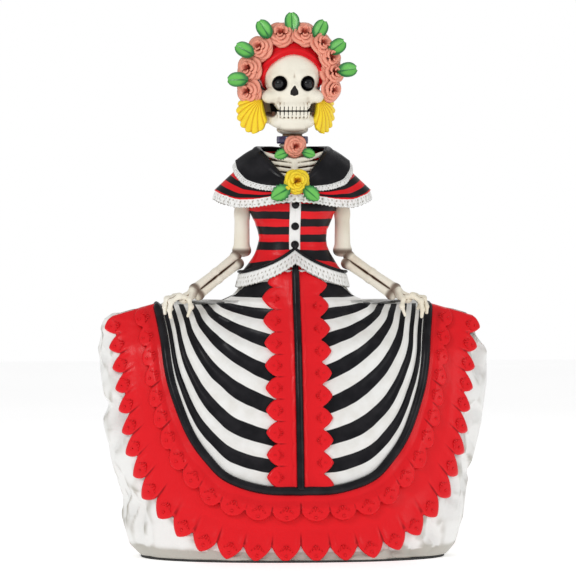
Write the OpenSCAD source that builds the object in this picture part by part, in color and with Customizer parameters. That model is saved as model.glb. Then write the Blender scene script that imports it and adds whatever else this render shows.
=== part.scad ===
// Catrina figure: a paper-shell dress over a wooden post, with wire-cored bone arms,
// a moulded skull and a crown of roses. Millimetres, +Z up, front towards -Y,
// origin on the resting face under the middle of the skirt.

/* [Figure] */
// Height from the resting face to the tip of the highest crown leaf
figure_h = 305; // [295:1:315]
// Height of the bodice hem at the sides, where the skirt starts
waist_z = 157; // [155:1:159]

/* [Skirt] */
// Widest width of the skirt
skirt_w = 222; // [215:1:228]
// Height of the lifted skirt edge under the hands
skirt_h = 142; // [140:1:143]
// Depth of the skirt at the floor
skirt_d = 110; // [104:1:116]
// Thickness of the paper shell
shell_t = 2.4; // [2:0.1:3]
// Thickness of one glued-on paper layer
layer_t = 1.6; // [1.2:0.1:2]

/* [Base and armature] */
// Thickness of the felt under the base board
felt_t = 1.2; // [1:0.1:2]
// Thickness of the base board
board_t = 5; // [4:0.5:6]
// Diameter of the wooden post
post_d = 8; // [7:0.5:9]
// Diameter of the wire in the neck and arms
wire_d = 2; // [1.6:0.1:2.2]

/* [Head] */
// Width of the skull at the temples
skull_w = 34; // [32:1:36]
// Width of the crown of roses, from centre to centre of the lowest two
crown_w = 49; // [47:1:51]
// Diameter of one crown rose
rose_d = 12; // [11:0.5:13]

/* [Hidden] */
$fn = 48;
ring_n = 56;         // points round a lofted ring
gap = 0.2;           // room between two glued layers
side_wave_n = 2.3;   // roundness of the skirt's ground plan at the floor

shoulder_z = waist_z + 53;
neck_z = waist_z + 71;
head_z = figure_h - 43;
edge_z = skirt_h;
scallop_l = 4.6;     // how far a scallop's tip stands out beyond its valleys

bone = "#E9E2D2";
white = "#F1F0EA";
red = "#DE1A22";
black = "#1B1A1C";
coral = "#F08A74";
green = "#3FAE49";
yellow = "#F4CB1E";
wood = "#C79A63";
steel = "#9AA0A6";

// ---------- small tools ----------

function mix(a, b, t) = a + (b - a) * t;
function clamp(x, lo, hi) = max(lo, min(hi, x));
function ease(t) = let (c = clamp(t, 0, 1)) c * c * (3 - 2 * c);
function mirror_x(p) = [-p[0], p[1], p[2]];

// A wall closed in both directions: rows of rings, the last row joining the first again.
module ring_wall(rows) {
    m = len(rows);
    n = len(rows[0]);
    polyhedron(
        points = [for (r = rows) for (p = r) p],
        faces = [for (i = [0:m - 1]) for (j = [0:n - 1])
            let (a = i, b = (i + 1) % m, c = j, d = (j + 1) % n)
            each [[a * n + c, b * n + c, b * n + d], [a * n + c, b * n + d, a * n + d]]],
        convexity = 8);
}

// A slab between an outer and an inner grid of the same size, closed round its edge.
module slab(outer, inner) {
    m = len(outer);
    n = len(outer[0]);
    k = m * n;
    polyhedron(
        points = concat([for (r = outer) for (p = r) p], [for (r = inner) for (p = r) p]),
        faces = concat(
            [for (i = [0:m - 2]) for (j = [0:n - 2]) let (a = i * n + j)
                each [[a, a + 1, a + n + 1], [a, a + n + 1, a + n]]],
            [for (i = [0:m - 2]) for (j = [0:n - 2]) let (a = k + i * n + j)
                each [[a, a + n + 1, a + 1], [a, a + n, a + n + 1]]],
            [for (i = [0:m - 2]) let (a = i * n, b = (i + 1) * n)
                each [[a, b, k + b], [a, k + b, k + a]]],
            [for (i = [0:m - 2]) let (a = i * n + n - 1, b = (i + 1) * n + n - 1)
                each [[a, k + b, b], [a, k + a, k + b]]],
            [for (j = [0:n - 2]) each [[j, k + j + 1, j + 1], [j, k + j, k + j + 1]]],
            [for (j = [0:n - 2]) let (a = (m - 1) * n + j)
                each [[a, a + 1, k + a + 1], [a, k + a + 1, k + a]]]),
        convexity = 8);
}

// Turns a shape that stands along +Z so that it runs from p to q.
module stand(p, q) {
    v = q - p;
    translate(p) rotate([0, acos(v[2] / norm(v)), atan2(v[1], v[0])]) children();
}

// A round tube through a list of points, with its own radius at each. It never runs along Y.
module tube(path, radii, k = 8) {
    m = len(path) - 1;
    function way(i) = let (d = path[min(i + 1, m)] - path[max(i - 1, 0)]) d / norm(d);
    function ring(i) = let (t = way(i), b0 = cross(t, [0, 1, 0]), b = b0 / norm(b0), c = cross(t, b))
        [for (q = [0:k - 1]) path[i] + radii[i] * (cos(360 * q / k) * b + sin(360 * q / k) * c)];
    polyhedron(
        points = [for (i = [0:m]) for (p = ring(i)) p],
        faces = concat(
            [for (i = [0:m - 1]) for (q = [0:k - 1]) let (a = i * k + q, b = i * k + (q + 1) % k)
                each [[a, b + k, b], [a, a + k, b + k]]],
            [[for (q = [0:k - 1]) q], [for (q = [k - 1:-1:0]) m * k + q]]),
        convexity = 8);
}

// ---------- the skirt's surface ----------

// Half width of the skirt at height z, up to the lifted edge.
skirt_side = [for (p = [[0, 0.775], [0.05, 0.83], [0.15, 0.87], [0.27, 0.89], [0.37, 0.92],
                        [0.52, 0.965], [0.68, 0.993], [0.83, 1], [0.9, 0.985], [0.94, 0.955],
                        [0.97, 0.9], [0.988, 0.82], [1, 0.72]])
    [p[0] * skirt_h, p[1] * skirt_w / 2]];
// Half width from the lifted edge up to the waist.
waist_side = [[skirt_h + 0.8, 45], [skirt_h + 4, 37], [skirt_h + 8, 33], [waist_z, 29]];
function half_w(z) = z <= skirt_h ? lookup(z, skirt_side) : lookup(z, waist_side);

// Half depth on the centre line at height z.
skirt_mid = [[0, skirt_d / 2], [30, skirt_d / 2 - 2.5], [60, skirt_d / 2 - 7], [90, skirt_d / 2 - 13],
             [120, skirt_d / 2 - 21], [skirt_h, skirt_d / 2 - 31], [waist_z, 18.5]];
function plan_n(z) = side_wave_n - 0.9 * pow(clamp(z / skirt_h, 0, 1), 1.5);
function edge_round(x, z) = let (top = edge_z + 30 * ease((46 - abs(x)) / 16),
        s = clamp((z - top + 11) / 11, 0, 1))
    max(0.25, sqrt(1 - s * s));
// Half depth of the skirt at a point of its front view.
function depth(x, z) = let (n = plan_n(z), u = clamp(abs(x) / half_w(z), 0, 1))
    lookup(z, skirt_mid) * pow(1 - pow(u, n), 1 / n) * edge_round(x, z);

function skirt_ring(z, inset) = let (w = half_w(z) - inset)
    [for (j = [0:ring_n - 1]) let (a = 360 * j / ring_n, x = w * cos(a), d = depth(x * half_w(z) / w, z))
        [x, -sign(round(sin(a) * 1e6)) * max(d - inset, 0.4), z]];
outer_levels = concat([felt_t], [for (k = [0.06:0.1:0.86]) k * skirt_h],
                      [for (k = [0.9, 0.94, 0.97, 0.988, 1]) k * skirt_h],
                      [skirt_h + 0.8, skirt_h + 4, skirt_h + 8, waist_z]);
inner_levels = concat([felt_t], [for (k = [0.2:0.2:0.8]) k * skirt_h],
                      [for (k = [0.94, 1]) k * skirt_h], [skirt_h + 4, waist_z]);

module petticoat_shell() {
    top = len(outer_levels) - 1;
    color(white) ring_wall(concat([for (z = inner_levels) skirt_ring(z, shell_t)],
                                  [for (i = [top:-1:0]) skirt_ring(outer_levels[i], 0)]));
}

// A U-shaped line across the front view: half width w and height t at its top, height b in the middle.
function u_line(w, t, b, n, a) =
    [-w * sign(cos(a)) * pow(abs(cos(a)), 2 / n), t - (t - b) * pow(sin(a), 2 / n)];
function on_skirt(p, lift, side) = [p[0], side * (depth(p[0], p[1]) + lift), p[1]];

piping_u = [79, skirt_h, 40, 2.3];
upper_u = [92, skirt_h - 3, 25, 2.4];
lower_u = [104, skirt_h - 6, 6.2, 2.6];
function along(u, a, grow = 0) = u_line(u[0] + grow, u[1], u[2] - grow, u[3], a);

// A tier of a flounce, from the piping down to a scalloped edge.
module tier(u, count, lift, side) {
    m = count * 4;
    cols = 2;
    function row(i, l) = let (a = 2 + 176 * i / m, tip = scallop_l * abs(sin(180 * count * i / m)))
        [for (c = [0:cols]) let (s = c / cols)
            on_skirt(mix(along(piping_u, a, 1.2), along(u, a, tip * s), s), l, side)];
    outer = [for (i = [0:m]) row(i, lift + layer_t)];
    inner = [for (i = [0:m]) row(i, lift)];
    color(red) if (side < 0) slab(inner, outer);
    else slab(outer, inner);
}

// The striped panel inside the piping, as a fan of lines from the hand to the centre.
function panel_pt(u, v) = let (
        x = mix(-1, 1, u),
        top = mix(piping_u[0] - 3, 30, pow(v, 1.4)),
        base = mix(piping_u[2] + 2, waist_z - 2, v),
        head = mix(skirt_h - 0.5, waist_z - 2, pow(v, 6)), n = mix(piping_u[3], 1.9, v))
    [x * top, mix(head, base, pow(max(0, 1 - pow(abs(x), n)), 1 / n))];
module skirt_panel(side) {
    m = 12;
    cols = 24;
    function row(i, l) = [for (j = [0:cols]) let (u = (1 - cos(180 * j / cols)) / 2)
        on_skirt(panel_pt(u, i / m), l, side)];
    outer = [for (i = [0:m]) row(i, gap + layer_t)];
    inner = [for (i = [0:m]) row(i, gap)];
    if (side < 0) slab(inner, outer);
    else slab(outer, inner);
}

module hem_piping(side) {
    m = 40;
    path = [for (i = [0:m]) on_skirt(along(piping_u, 2 + 176 * i / m), gap + layer_t + 0.8, side)];
    color(black) tube(path, [for (i = [0:m]) 1.9]);
}

// ---------- base and armature ----------

module ground_plan(inset, h) {
    k = 2 / side_wave_n;
    w = half_w(0) - inset;
    d = skirt_d / 2 - inset;
    linear_extrude(h) polygon([for (j = [0:ring_n - 1])
        let (a = 360 * j / ring_n, c = cos(a), s = sin(a))
        [w * sign(c) * pow(abs(c), k), d * sign(s) * pow(abs(s), k)]]);
}

module felt_pad() color(black) ground_plan(0.6, felt_t);

screw_r = 1.75;
post_bottom = felt_t + 1.2;
module base_board() color(wood) difference() {
    translate([0, 0, felt_t + gap]) ground_plan(shell_t + 1, board_t);
    translate([0, 0, felt_t + gap + board_t - 2.5]) cylinder(h = 10, r = post_d / 2 + 0.05);
    translate([0, 0, felt_t]) cylinder(h = board_t, r = screw_r + 0.05);
    translate([0, 0, felt_t + gap - 0.01]) cylinder(h = 1.55, r1 = 3.45, r2 = screw_r + 0.05);
}
board_top = felt_t + gap + board_t;

module post_screw() color(steel) union() {
    translate([0, 0, felt_t + gap]) cylinder(h = 1.5, r1 = 3.4, r2 = screw_r);
    translate([0, 0, felt_t + gap + 1.4]) cylinder(h = 18, r = screw_r);
}

post_top = shoulder_z - 6;
neck_wire_r = wire_d * 0.75;
module centre_post() color(wood) difference() {
    translate([0, 0, board_top - 2.5]) cylinder(h = post_top - board_top + 2.5, r = post_d / 2);
    cylinder(h = felt_t + gap + 19.5, r = screw_r);
    translate([0, 0, post_top - 18]) cylinder(h = 30, r = neck_wire_r + 0.05);
}

module waist_disc() color(wood) difference() {
    translate([0, 0, skirt_h + 3]) cylinder(h = 5, r = 13.5);
    cylinder(h = waist_z + 20, r = post_d / 2 + 0.05);
}

module neck_wire() color(steel) translate([0, 0, post_top - 17.5])
    cylinder(h = head_z + 14 - post_top + 17.5, r = neck_wire_r);

// ---------- arms ----------

shoulder = [27.5, 1.5, shoulder_z - 1];
elbow = [28.6, 3, waist_z + 14];
forearm = [30.2, 1.6, waist_z + 10];
wrist = [54.6, -17, skirt_h + 7];
palm = [62.5, -21.5, skirt_h + 3.5];
// Half the distance between the two forearm bones, square to the forearm.
bone_step = let (n = cross(wrist - forearm, [0, 1, 0])) 2.9 * n / norm(n);
ulna_top = forearm + bone_step;
ulna_end = wrist + bone_step;
radius_top = forearm - bone_step + [1, -0.8, -0.7];
radius_end = wrist - bone_step;

module arm_wire() {
    half = [[0.5, 6.5, shoulder_z - 1], [15, 6.5, shoulder_z - 1], shoulder, elbow, ulna_top, ulna_end];
    n = len(half) - 1;
    path = concat([for (i = [n:-1:0]) mirror_x(half[i])], half);
    color(steel) tube(path, [for (p = path) wire_d / 2]);
}

// A long bone from p to q: a waisted shaft with a knob at each end and a bore for the wire.
module long_bone(p, q, r, knob, bore = 0) {
    l = norm(q - p);
    stand(p, q) rotate_extrude() polygon([
        [bore, 0], [knob * 0.75, 0], [knob, 1.6], [knob * 0.95, 3.4], [r * 1.05, 8], [r * 0.93, l / 2],
        [r * 1.05, l - 8], [knob * 0.95, l - 3.4], [knob, l - 1.6], [knob * 0.75, l], [bore, l]]);
}
wire_bore = wire_d / 2 + 0.1;
module humerus(s) color(bone) scale([s, 1, 1]) long_bone(shoulder, elbow, 3.9, 4.5, wire_bore);
module ulna(s) color(bone) scale([s, 1, 1]) long_bone(ulna_top, ulna_end, 2.2, 2.75, wire_bore);
module radius_bone(s) color(bone) scale([s, 1, 1]) long_bone(radius_top, radius_end, 2.2, 2.75);

// Where each fingertip lies, from the index finger to the little one.
finger_tips = [[70.5, -25, skirt_h - 7], [73.2, -22.5, skirt_h - 4.5],
               [72.5, -19, skirt_h - 3], [68.5, -15.5, skirt_h - 3]];
module hand(s) color(bone) scale([s, 1, 1]) {
    thumb = [palm + [-1, -1.5, 0], palm + [-3.4, -5, -4], palm + [-2.6, -4.8, -10]];
    resize([0, 0, 0]) union() {
        stand(ulna_end + [1.6, -0.8, -0.5], palm + [3, -1.7, -1])
            cylinder(h = norm(palm - wrist) + 1, r1 = 3, r2 = 4.1, $fn = 16);
        for (i = [0:3]) {
            knuckle = palm + [2.6 + 0.7 * i, -2.6 + 2.1 * i, 1.4 - 0.2 * i];
            bend = mix(knuckle, finger_tips[i], 0.45) + [2.2, 0, 2.2];
            tube([palm, knuckle, bend, finger_tips[i]], [1, 1.7, 1.45, 1.1]);
        }
        tube(thumb, [1.4, 1.6, 1.2]);
    }
}

// ---------- bodice and trims ----------

// Half width and half depth of the bodice by height.
bodice_sizes = [[waist_z, 30.5, 19.5], [waist_z + 7, 24, 16.5], [waist_z + 14, 20, 14.2],
                [waist_z + 21, 18.4, 13.4], [waist_z + 29, 20, 14.6], [waist_z + 36, 23.6, 17.6],
                [waist_z + 42, 25.4, 18.2], [waist_z + 49, 24.5, 15]];

function bodice_w(z) = lookup(z, [for (q = bodice_sizes) [q[0], q[1]]]);
function bodice_d(z) = lookup(z, [for (q = bodice_sizes) [q[0], q[2]]]);
hem_rise = 13.5;     // how far the bodice's hem rises to its point in front
module bodice() {
    k = len(bodice_sizes);
    function lift(i) = hem_rise * pow(1 - i / (k - 1), 2);
    function row(i, grow) = let (s = bodice_sizes[i])
        [for (j = [0:ring_n - 1])
            let (t = 360 * j / ring_n, z = s[0] + lift(i) * pow(max(0, sin(t)), 3))
            [(bodice_w(z) + grow) * cos(t), -(bodice_d(z) + grow) * sin(t), z]];
    inner = [for (i = [0, 3, 5, k - 1]) row(i, -shell_t)];
    color(red) ring_wall(concat(inner, [for (i = [k - 1:-1:0]) row(i, 0)]));
}

frill_n = 24;         // ripples round a frill of lace
module frill(a0, b0, z0, a1, b1, z1, ripple, t) {
    function ring(a, b, z, g, r) = [for (j = [0:frill_n * 4 - 1])
        let (q = 90 * j / frill_n, w = r * cos(q * frill_n), s = sin(q), zc = s < 0 ? z[2] : z[1])
        [(a + g + w) * cos(q), -(b + g + w) * s, mix(z[0], zc, pow(abs(s), 3))]];
    color(white) ring_wall([ring(a0, b0, z0, t, 0), ring(a1, b1, z1, t, ripple),
                            ring(a1, b1, z1, 0, ripple), ring(a0, b0, z0, 0, 0)]);
}
module peplum_lace() frill(30.9, 19.9, [waist_z + 0.4, waist_z + hem_rise + 0.4, waist_z + 0.4],
                           33, 22, [waist_z - 6.5, waist_z + hem_rise - 7, waist_z - 6.5], 0.5, 1.4);

band_top = waist_z + 41;
module button_band() {
    rows = [for (z = [waist_z + hem_rise + 1.5:3:band_top]) z];
    function row(z, l) = [for (x = [-3.1, 0, 3.1])
        [x, -bodice_d(z) * sqrt(1 - pow(x / bodice_w(z), 2)) - l, z]];
    color(white) slab([for (z = rows) row(z, gap)], [for (z = rows) row(z, gap + 1)]);
}

button_z = [waist_z + 17.8, waist_z + 28, waist_z + 39.5];
module buttons() color(black) for (z = button_z)
    translate([0, -bodice_d(z) - gap - 1.25, z]) rotate([90, 0, 0]) difference() {
        sphere(r = 2.3);
        translate([0, 0, -5]) cube(10, center = true);
    }

placket_x = 12.6;
placket_tip = 18.4;
module placket_lace(s) {
    count = 9;
    m = count * 4;
    z0 = piping_u[2] + 1.5;
    z1 = waist_z + 6;
    function x_edge(i) = mix(placket_x, placket_tip, abs(sin(180 * count * i / m)))
        * mix(1, 0.72, ease((i / m - 0.86) / 0.14));
    function row(i, l) = let (z = mix(z0, z1, i / m)) [for (q = [0, 0.5, 1])
        let (x = mix(2.1, x_edge(i), q)) [s * x, -(depth(x, min(z, waist_z)) + l), z]];
    outer = [for (i = [0:m]) row(i, 2 * gap + 2 * layer_t)];
    inner = [for (i = [0:m]) row(i, 2 * gap + layer_t)];
    color(red) if (s > 0) slab(inner, outer);
    else slab(outer, inner);
}

module placket_cord() {
    z0 = piping_u[2] + 1.5;
    z1 = waist_z + 6.5;
    m = 30;
    function row(i, l) = let (z = mix(z0, z1, i / m)) [for (x = [-1.7, 0, 1.7])
        [x, -(depth(x, min(z, waist_z)) + l - abs(x) * 0.4), z]];
    foot = gap + layer_t + 0.6;
    color(black) slab([for (i = [0:m]) row(i, foot)], [for (i = [0:m]) row(i, foot + 2)]);
}

// ---------- chest, neck, cape and collar ----------

module rib_cage() color(bone) difference() {
    union() {
        hull() {
            translate([0, 0, shoulder_z - 12]) resize([34, 22, 4]) cylinder(r = 10, h = 4, $fn = 32);
            translate([0, 0, shoulder_z + 10]) resize([32, 16, 10]) sphere(10, $fn = 32);
        }
        hull() for (s = [-1, 1]) translate([s * 14, -2, shoulder_z + 13]) sphere(3.4, $fn = 24);
    }
    translate([0, 0, shoulder_z - 40]) cylinder(h = 80, r = neck_wire_r + 0.05);
    translate([0, 0, shoulder_z - 40]) cylinder(h = 40 + post_top - shoulder_z, r = post_d / 2 + 0.05);
    translate([-40, 6.5, shoulder_z - 1]) rotate([0, 90, 0]) cylinder(h = 80, r = wire_d / 2 + 0.1);
}

module neck_bones() color(bone) difference() {
    union() for (i = [0:3]) translate([0, 0.5, neck_z - 0.5 + i * 3.6])
        rotate_extrude() polygon([[0, 0], [6.4, 0.4], [7.6, 1.4], [7.4, 2.6], [6, 3.3], [0, 3.5]]);
    cylinder(h = figure_h, r = neck_wire_r + 0.05);
}

module choker() color("#23204A") translate([0, 0.5, neck_z + 3.2]) difference() {
    cylinder(h = 4.2, r = 8.8);
    translate([0, 0, -1]) cylinder(h = 7, r = 7.7);
}

// A sheet draped over the shoulders between two edges: half width, half depth, then the height
// at the side, in front and behind.
drape_swell = 1.2;   // how far its middle stands above a straight line between the edges
module drape(e0, e1, t, steps = 4) {
    function edge(e, g) = [for (j = [0:ring_n - 1])
        let (q = 360 * j / ring_n, s = sin(q), zc = s < 0 ? e[4] : e[3])
        [(e[0] + g) * cos(q), -(e[1] + g) * s, mix(e[2], zc, pow(abs(s), 1.6))]];
    function row(k, g) = let (f = k / steps, p = edge(e0, g), q = edge(e1, g),
            bulge = drape_swell * sin(180 * f))
        [for (j = [0:ring_n - 1]) mix(p[j], q[j], f) + [0, 0, bulge]];
    ring_wall(concat([for (k = [0:steps]) row(k, t)], [for (k = [steps:-1:0]) row(k, 0)]));
}
neck_edge = [16.5, 11, neck_z + 0.5, shoulder_z + 1, neck_z - 1];
collar_edge = [31, 18.4, neck_z - 8, shoulder_z - 3, shoulder_z];
cape_edge = [43, 23, shoulder_z - 4.5, shoulder_z - 10, shoulder_z - 9];

// The same edge moved in height by h and outwards by g and k.
function moved(e, h, g = 0, k = 0) = [e[0] + g, e[1] + k, e[2] + h, e[3] + h, e[4] + h];
module edge_frill(upper, lower, ripple, t) frill(
    upper[0], upper[1], [upper[2], upper[3], upper[4]],
    lower[0], lower[1], [lower[2], lower[3], lower[4]], ripple, t);

module cape() color(red) drape(moved(neck_edge, -2.4), cape_edge, 1.2);
module collar() color(black) drape(neck_edge, collar_edge, 1.6);
module cape_lace() edge_frill(moved(cape_edge, 0.2, 1.4, 1.4), moved(cape_edge, -4, 1.2, 2), 0.7, 1.3);
module collar_lace()
    edge_frill(moved(collar_edge, 0.2, 1.8, 1.8), moved(collar_edge, -2.2, 4.2, 3.2), 0.4, 1.1);

// ---------- roses and leaves ----------

// A rose facing +Z: a bud inside three cups of petals.
module rose(d) {
    r = d / 2;
    rotate_extrude() polygon(r * [
        [0, -0.45], [0.6, -0.4], [0.92, -0.05], [1, 0.22], [0.84, 0.3], [0.72, 0.18],
        [0.66, 0.42], [0.5, 0.36], [0.42, 0.6], [0.2, 0.66], [0, 0.6]]);
}

// A leaf from the origin along +X, lying in the XY plane.
module leaf(l, w, t) {
    r = (l * l + w * w) / (4 * w);
    linear_extrude(t) intersection() {
        translate([l / 2, r - w / 2]) circle(r);
        translate([l / 2, w / 2 - r]) circle(r);
    }
}

choker_rose_at = [0, -9.5, neck_z + 2.4];
module choker_rose() color(coral) translate(choker_rose_at) rotate([90, 0, 0]) rose(rose_d);
module choker_leaves() color(green) for (s = [-1, 1])
    translate([s * 3.4, -10.4, neck_z - 1.6]) rotate([90, s > 0 ? 28 : 152, 0]) leaf(8.5, 5.4, 1.1);

brooch_at = [0, -21.5, shoulder_z + 0.5];
module brooch_rose() color(yellow) translate(brooch_at) rotate([90, 0, 0]) rose(rose_d + 1);
module brooch_leaves() color(green) for (s = [-1, 1])
    translate([s * 3, -22.6, shoulder_z - 4.5]) rotate([90, s > 0 ? 24 : 156, 0]) leaf(12, 8.6, 1.3);

crown_a = crown_w / 2;
crown_b = 27;
crown_at = [0, -2, head_z + 6];
crown_angles = [-10, 14, 40, 68, 96, 124, 149, 170, 192];
module crown_rose(i) {
    a = crown_angles[i];
    color(coral) translate(crown_at + [crown_a * cos(a), 0, crown_b * sin(a)])
        rotate([90, 0, 0]) rotate([12 * sin(a), 24 * cos(a), 0]) rose(rose_d);
}
leaf_angles = [5, 33, 58, 90, 122, 147, 176];
module crown_leaves() color(green) for (a = leaf_angles)
    translate(crown_at + [(crown_a + 1.2) * cos(a), 2.2, (crown_b + 0.8) * sin(a)])
        rotate([90, -a, 0]) leaf(figure_h - crown_at[2] - crown_b - 0.8, 7.6, 1.6);

// ---------- head ----------

module skull() color(bone) difference() {
    union() {
        hull() {
            translate([0, 1, head_z + 11]) resize([skull_w, 38, 34]) sphere(10, $fn = 24);
            translate([0, -6, head_z - 1]) resize([skull_w - 2, 22, 20]) sphere(10, $fn = 24);
        }
        hull() for (s = [-1, 1]) translate([s * 11, -10, head_z - 5]) sphere(5.4, $fn = 24);
        hull() for (s = [-1, 1]) translate([s * 4.6, -11.5, head_z - 8.5]) sphere(5, $fn = 24);
    }
    for (s = [-1, 1]) translate([s * 8, -16, head_z + 2.6]) sphere(4.7, $fn = 32);
    translate([0, -19, head_z - 3.6]) rotate([0, 90, 90]) cylinder(h = 6, r = 2.4, $fn = 3);
    translate([0, 0, head_z - 40]) cylinder(h = 55, r = neck_wire_r + 0.05);
}

module eye_beads() color(black) for (s = [-1, 1]) translate([s * 8, -12.7, head_z + 2.6]) sphere(3.6);

module jaw() color(bone) difference() {
    hull() {
        for (s = [-1, 1]) translate([s * 7.5, -10, head_z - 19.5]) sphere(4.6, $fn = 24);
        for (s = [-1, 1]) translate([s * 13, 1, head_z - 16]) sphere(2.4, $fn = 24);
    }
    translate([-20, -30, head_z - 13.4]) cube([40, 60, 20]);
    translate([0, 0, head_z - 40]) cylinder(h = 60, r = neck_wire_r + 0.05);
}

module headscarf() color(red) difference() {
    translate([0, 1.5, head_z + 11]) resize([skull_w + 4, 40, 38]) sphere(10, $fn = 32);
    translate([0, 1, head_z + 11]) resize([skull_w + 0.4, 38.4, 34.4]) sphere(10, $fn = 32);
    translate([0, -10, head_z - 3]) rotate([90, 0, 0]) resize([skull_w - 1, 44, 60])
        cylinder(r = 10, h = 60, center = true, $fn = 32);
    translate([-30, -30, head_z - 40]) cube([60, 60, 36]);
}

module hair() color(black) difference() {
    hull() {
        translate([0, 12, head_z + 9]) resize([36, 18, 32]) sphere(10, $fn = 32);
        translate([0, 12, head_z - 13]) resize([33, 13, 14]) sphere(10, $fn = 32);
    }
    translate([0, 1, head_z + 11]) resize([skull_w + 4.6, 41, 38.6]) sphere(10, $fn = 32);
    translate([0, -6, head_z - 10]) resize([skull_w + 4, 27, 36]) sphere(10, $fn = 32);
    cylinder(h = figure_h, r = neck_wire_r + 0.1);
}

// A fan-shaped shell earring: ribs spread down and outwards from the lobe.
module earring(s) color(yellow) translate([s * 19.5, -1, head_z - 6.5]) rotate([90, 0, 0]) union() {
    for (i = [-4:4]) rotate([0, 0, -90 + s * 24 + i * 11]) intersection() {
        rotate([0, 90, 0]) cylinder(h = 18.5 - abs(i) * 1.1, r1 = 1.4, r2 = 2.1);
        cylinder(h = 2.6, r = 20);
    }
    cylinder(h = 2.6, r = 2.8);
}

felt_pad();
base_board();
post_screw();
centre_post();
waist_disc();
neck_wire();
arm_wire();
petticoat_shell();
color(white) skirt_panel(-1);  // skirt_panel_front
color(white) skirt_panel(1);  // skirt_panel_back
color(red) tier(lower_u, 30, gap, -1);  // lower_flounce_front
color(red) tier(lower_u, 30, gap, 1);  // lower_flounce_back
color(red) tier(upper_u, 24, 2 * gap + layer_t, -1);  // upper_flounce_front
color(red) tier(upper_u, 24, 2 * gap + layer_t, 1);  // upper_flounce_back
color(black) hem_piping(-1);  // hem_piping_front
color(black) hem_piping(1);  // hem_piping_back
placket_lace(1);  // placket_lace_left
placket_lace(-1);  // placket_lace_right
placket_cord();
peplum_lace();
bodice();
button_band();
buttons();
rib_cage();
neck_bones();
choker();
choker_rose();
choker_leaves();
cape();
cape_lace();
collar();
collar_lace();
brooch_rose();
brooch_leaves();
skull();
jaw();
eye_beads();
headscarf();
hair();
earring(1);  // earring_left
earring(-1);  // earring_right
humerus(1);  // humerus_left
humerus(-1);  // humerus_right
radius_bone(1);  // radius_left
radius_bone(-1);  // radius_right
ulna(1);  // ulna_left
ulna(-1);  // ulna_right
hand(1);  // hand_left
hand(-1);  // hand_right
crown_leaves();
for (i = [0:8]) crown_rose(i);
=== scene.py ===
"""A folk-art figure: a skeleton lady in a paper dress, who holds her skirt out with both hands."""
import math

import bmesh
import bpy
import numpy as np
from mathutils import Euler, Matrix, Vector


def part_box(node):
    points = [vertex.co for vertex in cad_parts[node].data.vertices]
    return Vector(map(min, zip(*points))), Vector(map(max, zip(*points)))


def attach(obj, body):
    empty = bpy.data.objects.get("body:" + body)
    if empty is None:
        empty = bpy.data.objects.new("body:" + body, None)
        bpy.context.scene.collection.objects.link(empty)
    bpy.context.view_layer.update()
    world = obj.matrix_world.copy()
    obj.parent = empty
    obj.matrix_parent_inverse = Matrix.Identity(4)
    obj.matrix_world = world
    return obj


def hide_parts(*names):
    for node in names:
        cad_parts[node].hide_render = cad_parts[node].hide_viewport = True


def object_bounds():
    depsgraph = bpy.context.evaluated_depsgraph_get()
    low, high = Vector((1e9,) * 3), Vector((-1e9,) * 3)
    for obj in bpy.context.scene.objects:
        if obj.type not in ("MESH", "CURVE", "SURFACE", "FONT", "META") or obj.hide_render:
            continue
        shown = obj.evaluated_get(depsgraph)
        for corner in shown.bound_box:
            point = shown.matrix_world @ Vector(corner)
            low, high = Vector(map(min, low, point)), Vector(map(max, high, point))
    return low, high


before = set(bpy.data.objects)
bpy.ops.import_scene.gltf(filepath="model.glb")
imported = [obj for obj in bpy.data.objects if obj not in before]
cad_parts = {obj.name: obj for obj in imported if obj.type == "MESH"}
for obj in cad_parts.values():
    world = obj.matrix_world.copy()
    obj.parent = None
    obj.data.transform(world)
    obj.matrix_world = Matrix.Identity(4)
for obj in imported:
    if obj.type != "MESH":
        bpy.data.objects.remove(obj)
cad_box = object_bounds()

BODY = "root"


# ---------------------------------------------------------------- studio
# A pale table before a pale backdrop, lit by a big soft window on the left,
# a weaker one on the right and a bright room. The camera stands a little left of the middle.
figure_h = cad_box[1][2] * 1000
shot_centre = Vector((-0.0025, 0.0, 0.1502))
shot_width = 0.3232
shot_distance = 3.0
shot_azimuth = math.radians(-5)
scene = bpy.context.scene

camera = bpy.data.objects.new("camera", bpy.data.cameras.new("camera"))
scene.collection.objects.link(camera)
scene.camera = camera
stand = Vector((math.sin(shot_azimuth), -math.cos(shot_azimuth), 0.03))
camera.location = shot_centre + shot_distance * stand
camera.rotation_euler = (shot_centre - camera.location).to_track_quat("-Z", "Y").to_euler()
camera.data.sensor_width = 36
camera.data.lens = 36 * shot_distance / shot_width
camera.data.clip_start = 0.01


def soft_light(name, place, size, watts):
    lamp = bpy.data.lights.new(name, "AREA")
    lamp.shape = "DISK"
    lamp.size = size
    lamp.energy = watts
    holder = bpy.data.objects.new(name, lamp)
    holder.location = place
    holder.rotation_euler = (Vector((0, 0, 0.14)) - Vector(place)).to_track_quat("-Z", "Y").to_euler()
    scene.collection.objects.link(holder)


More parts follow.
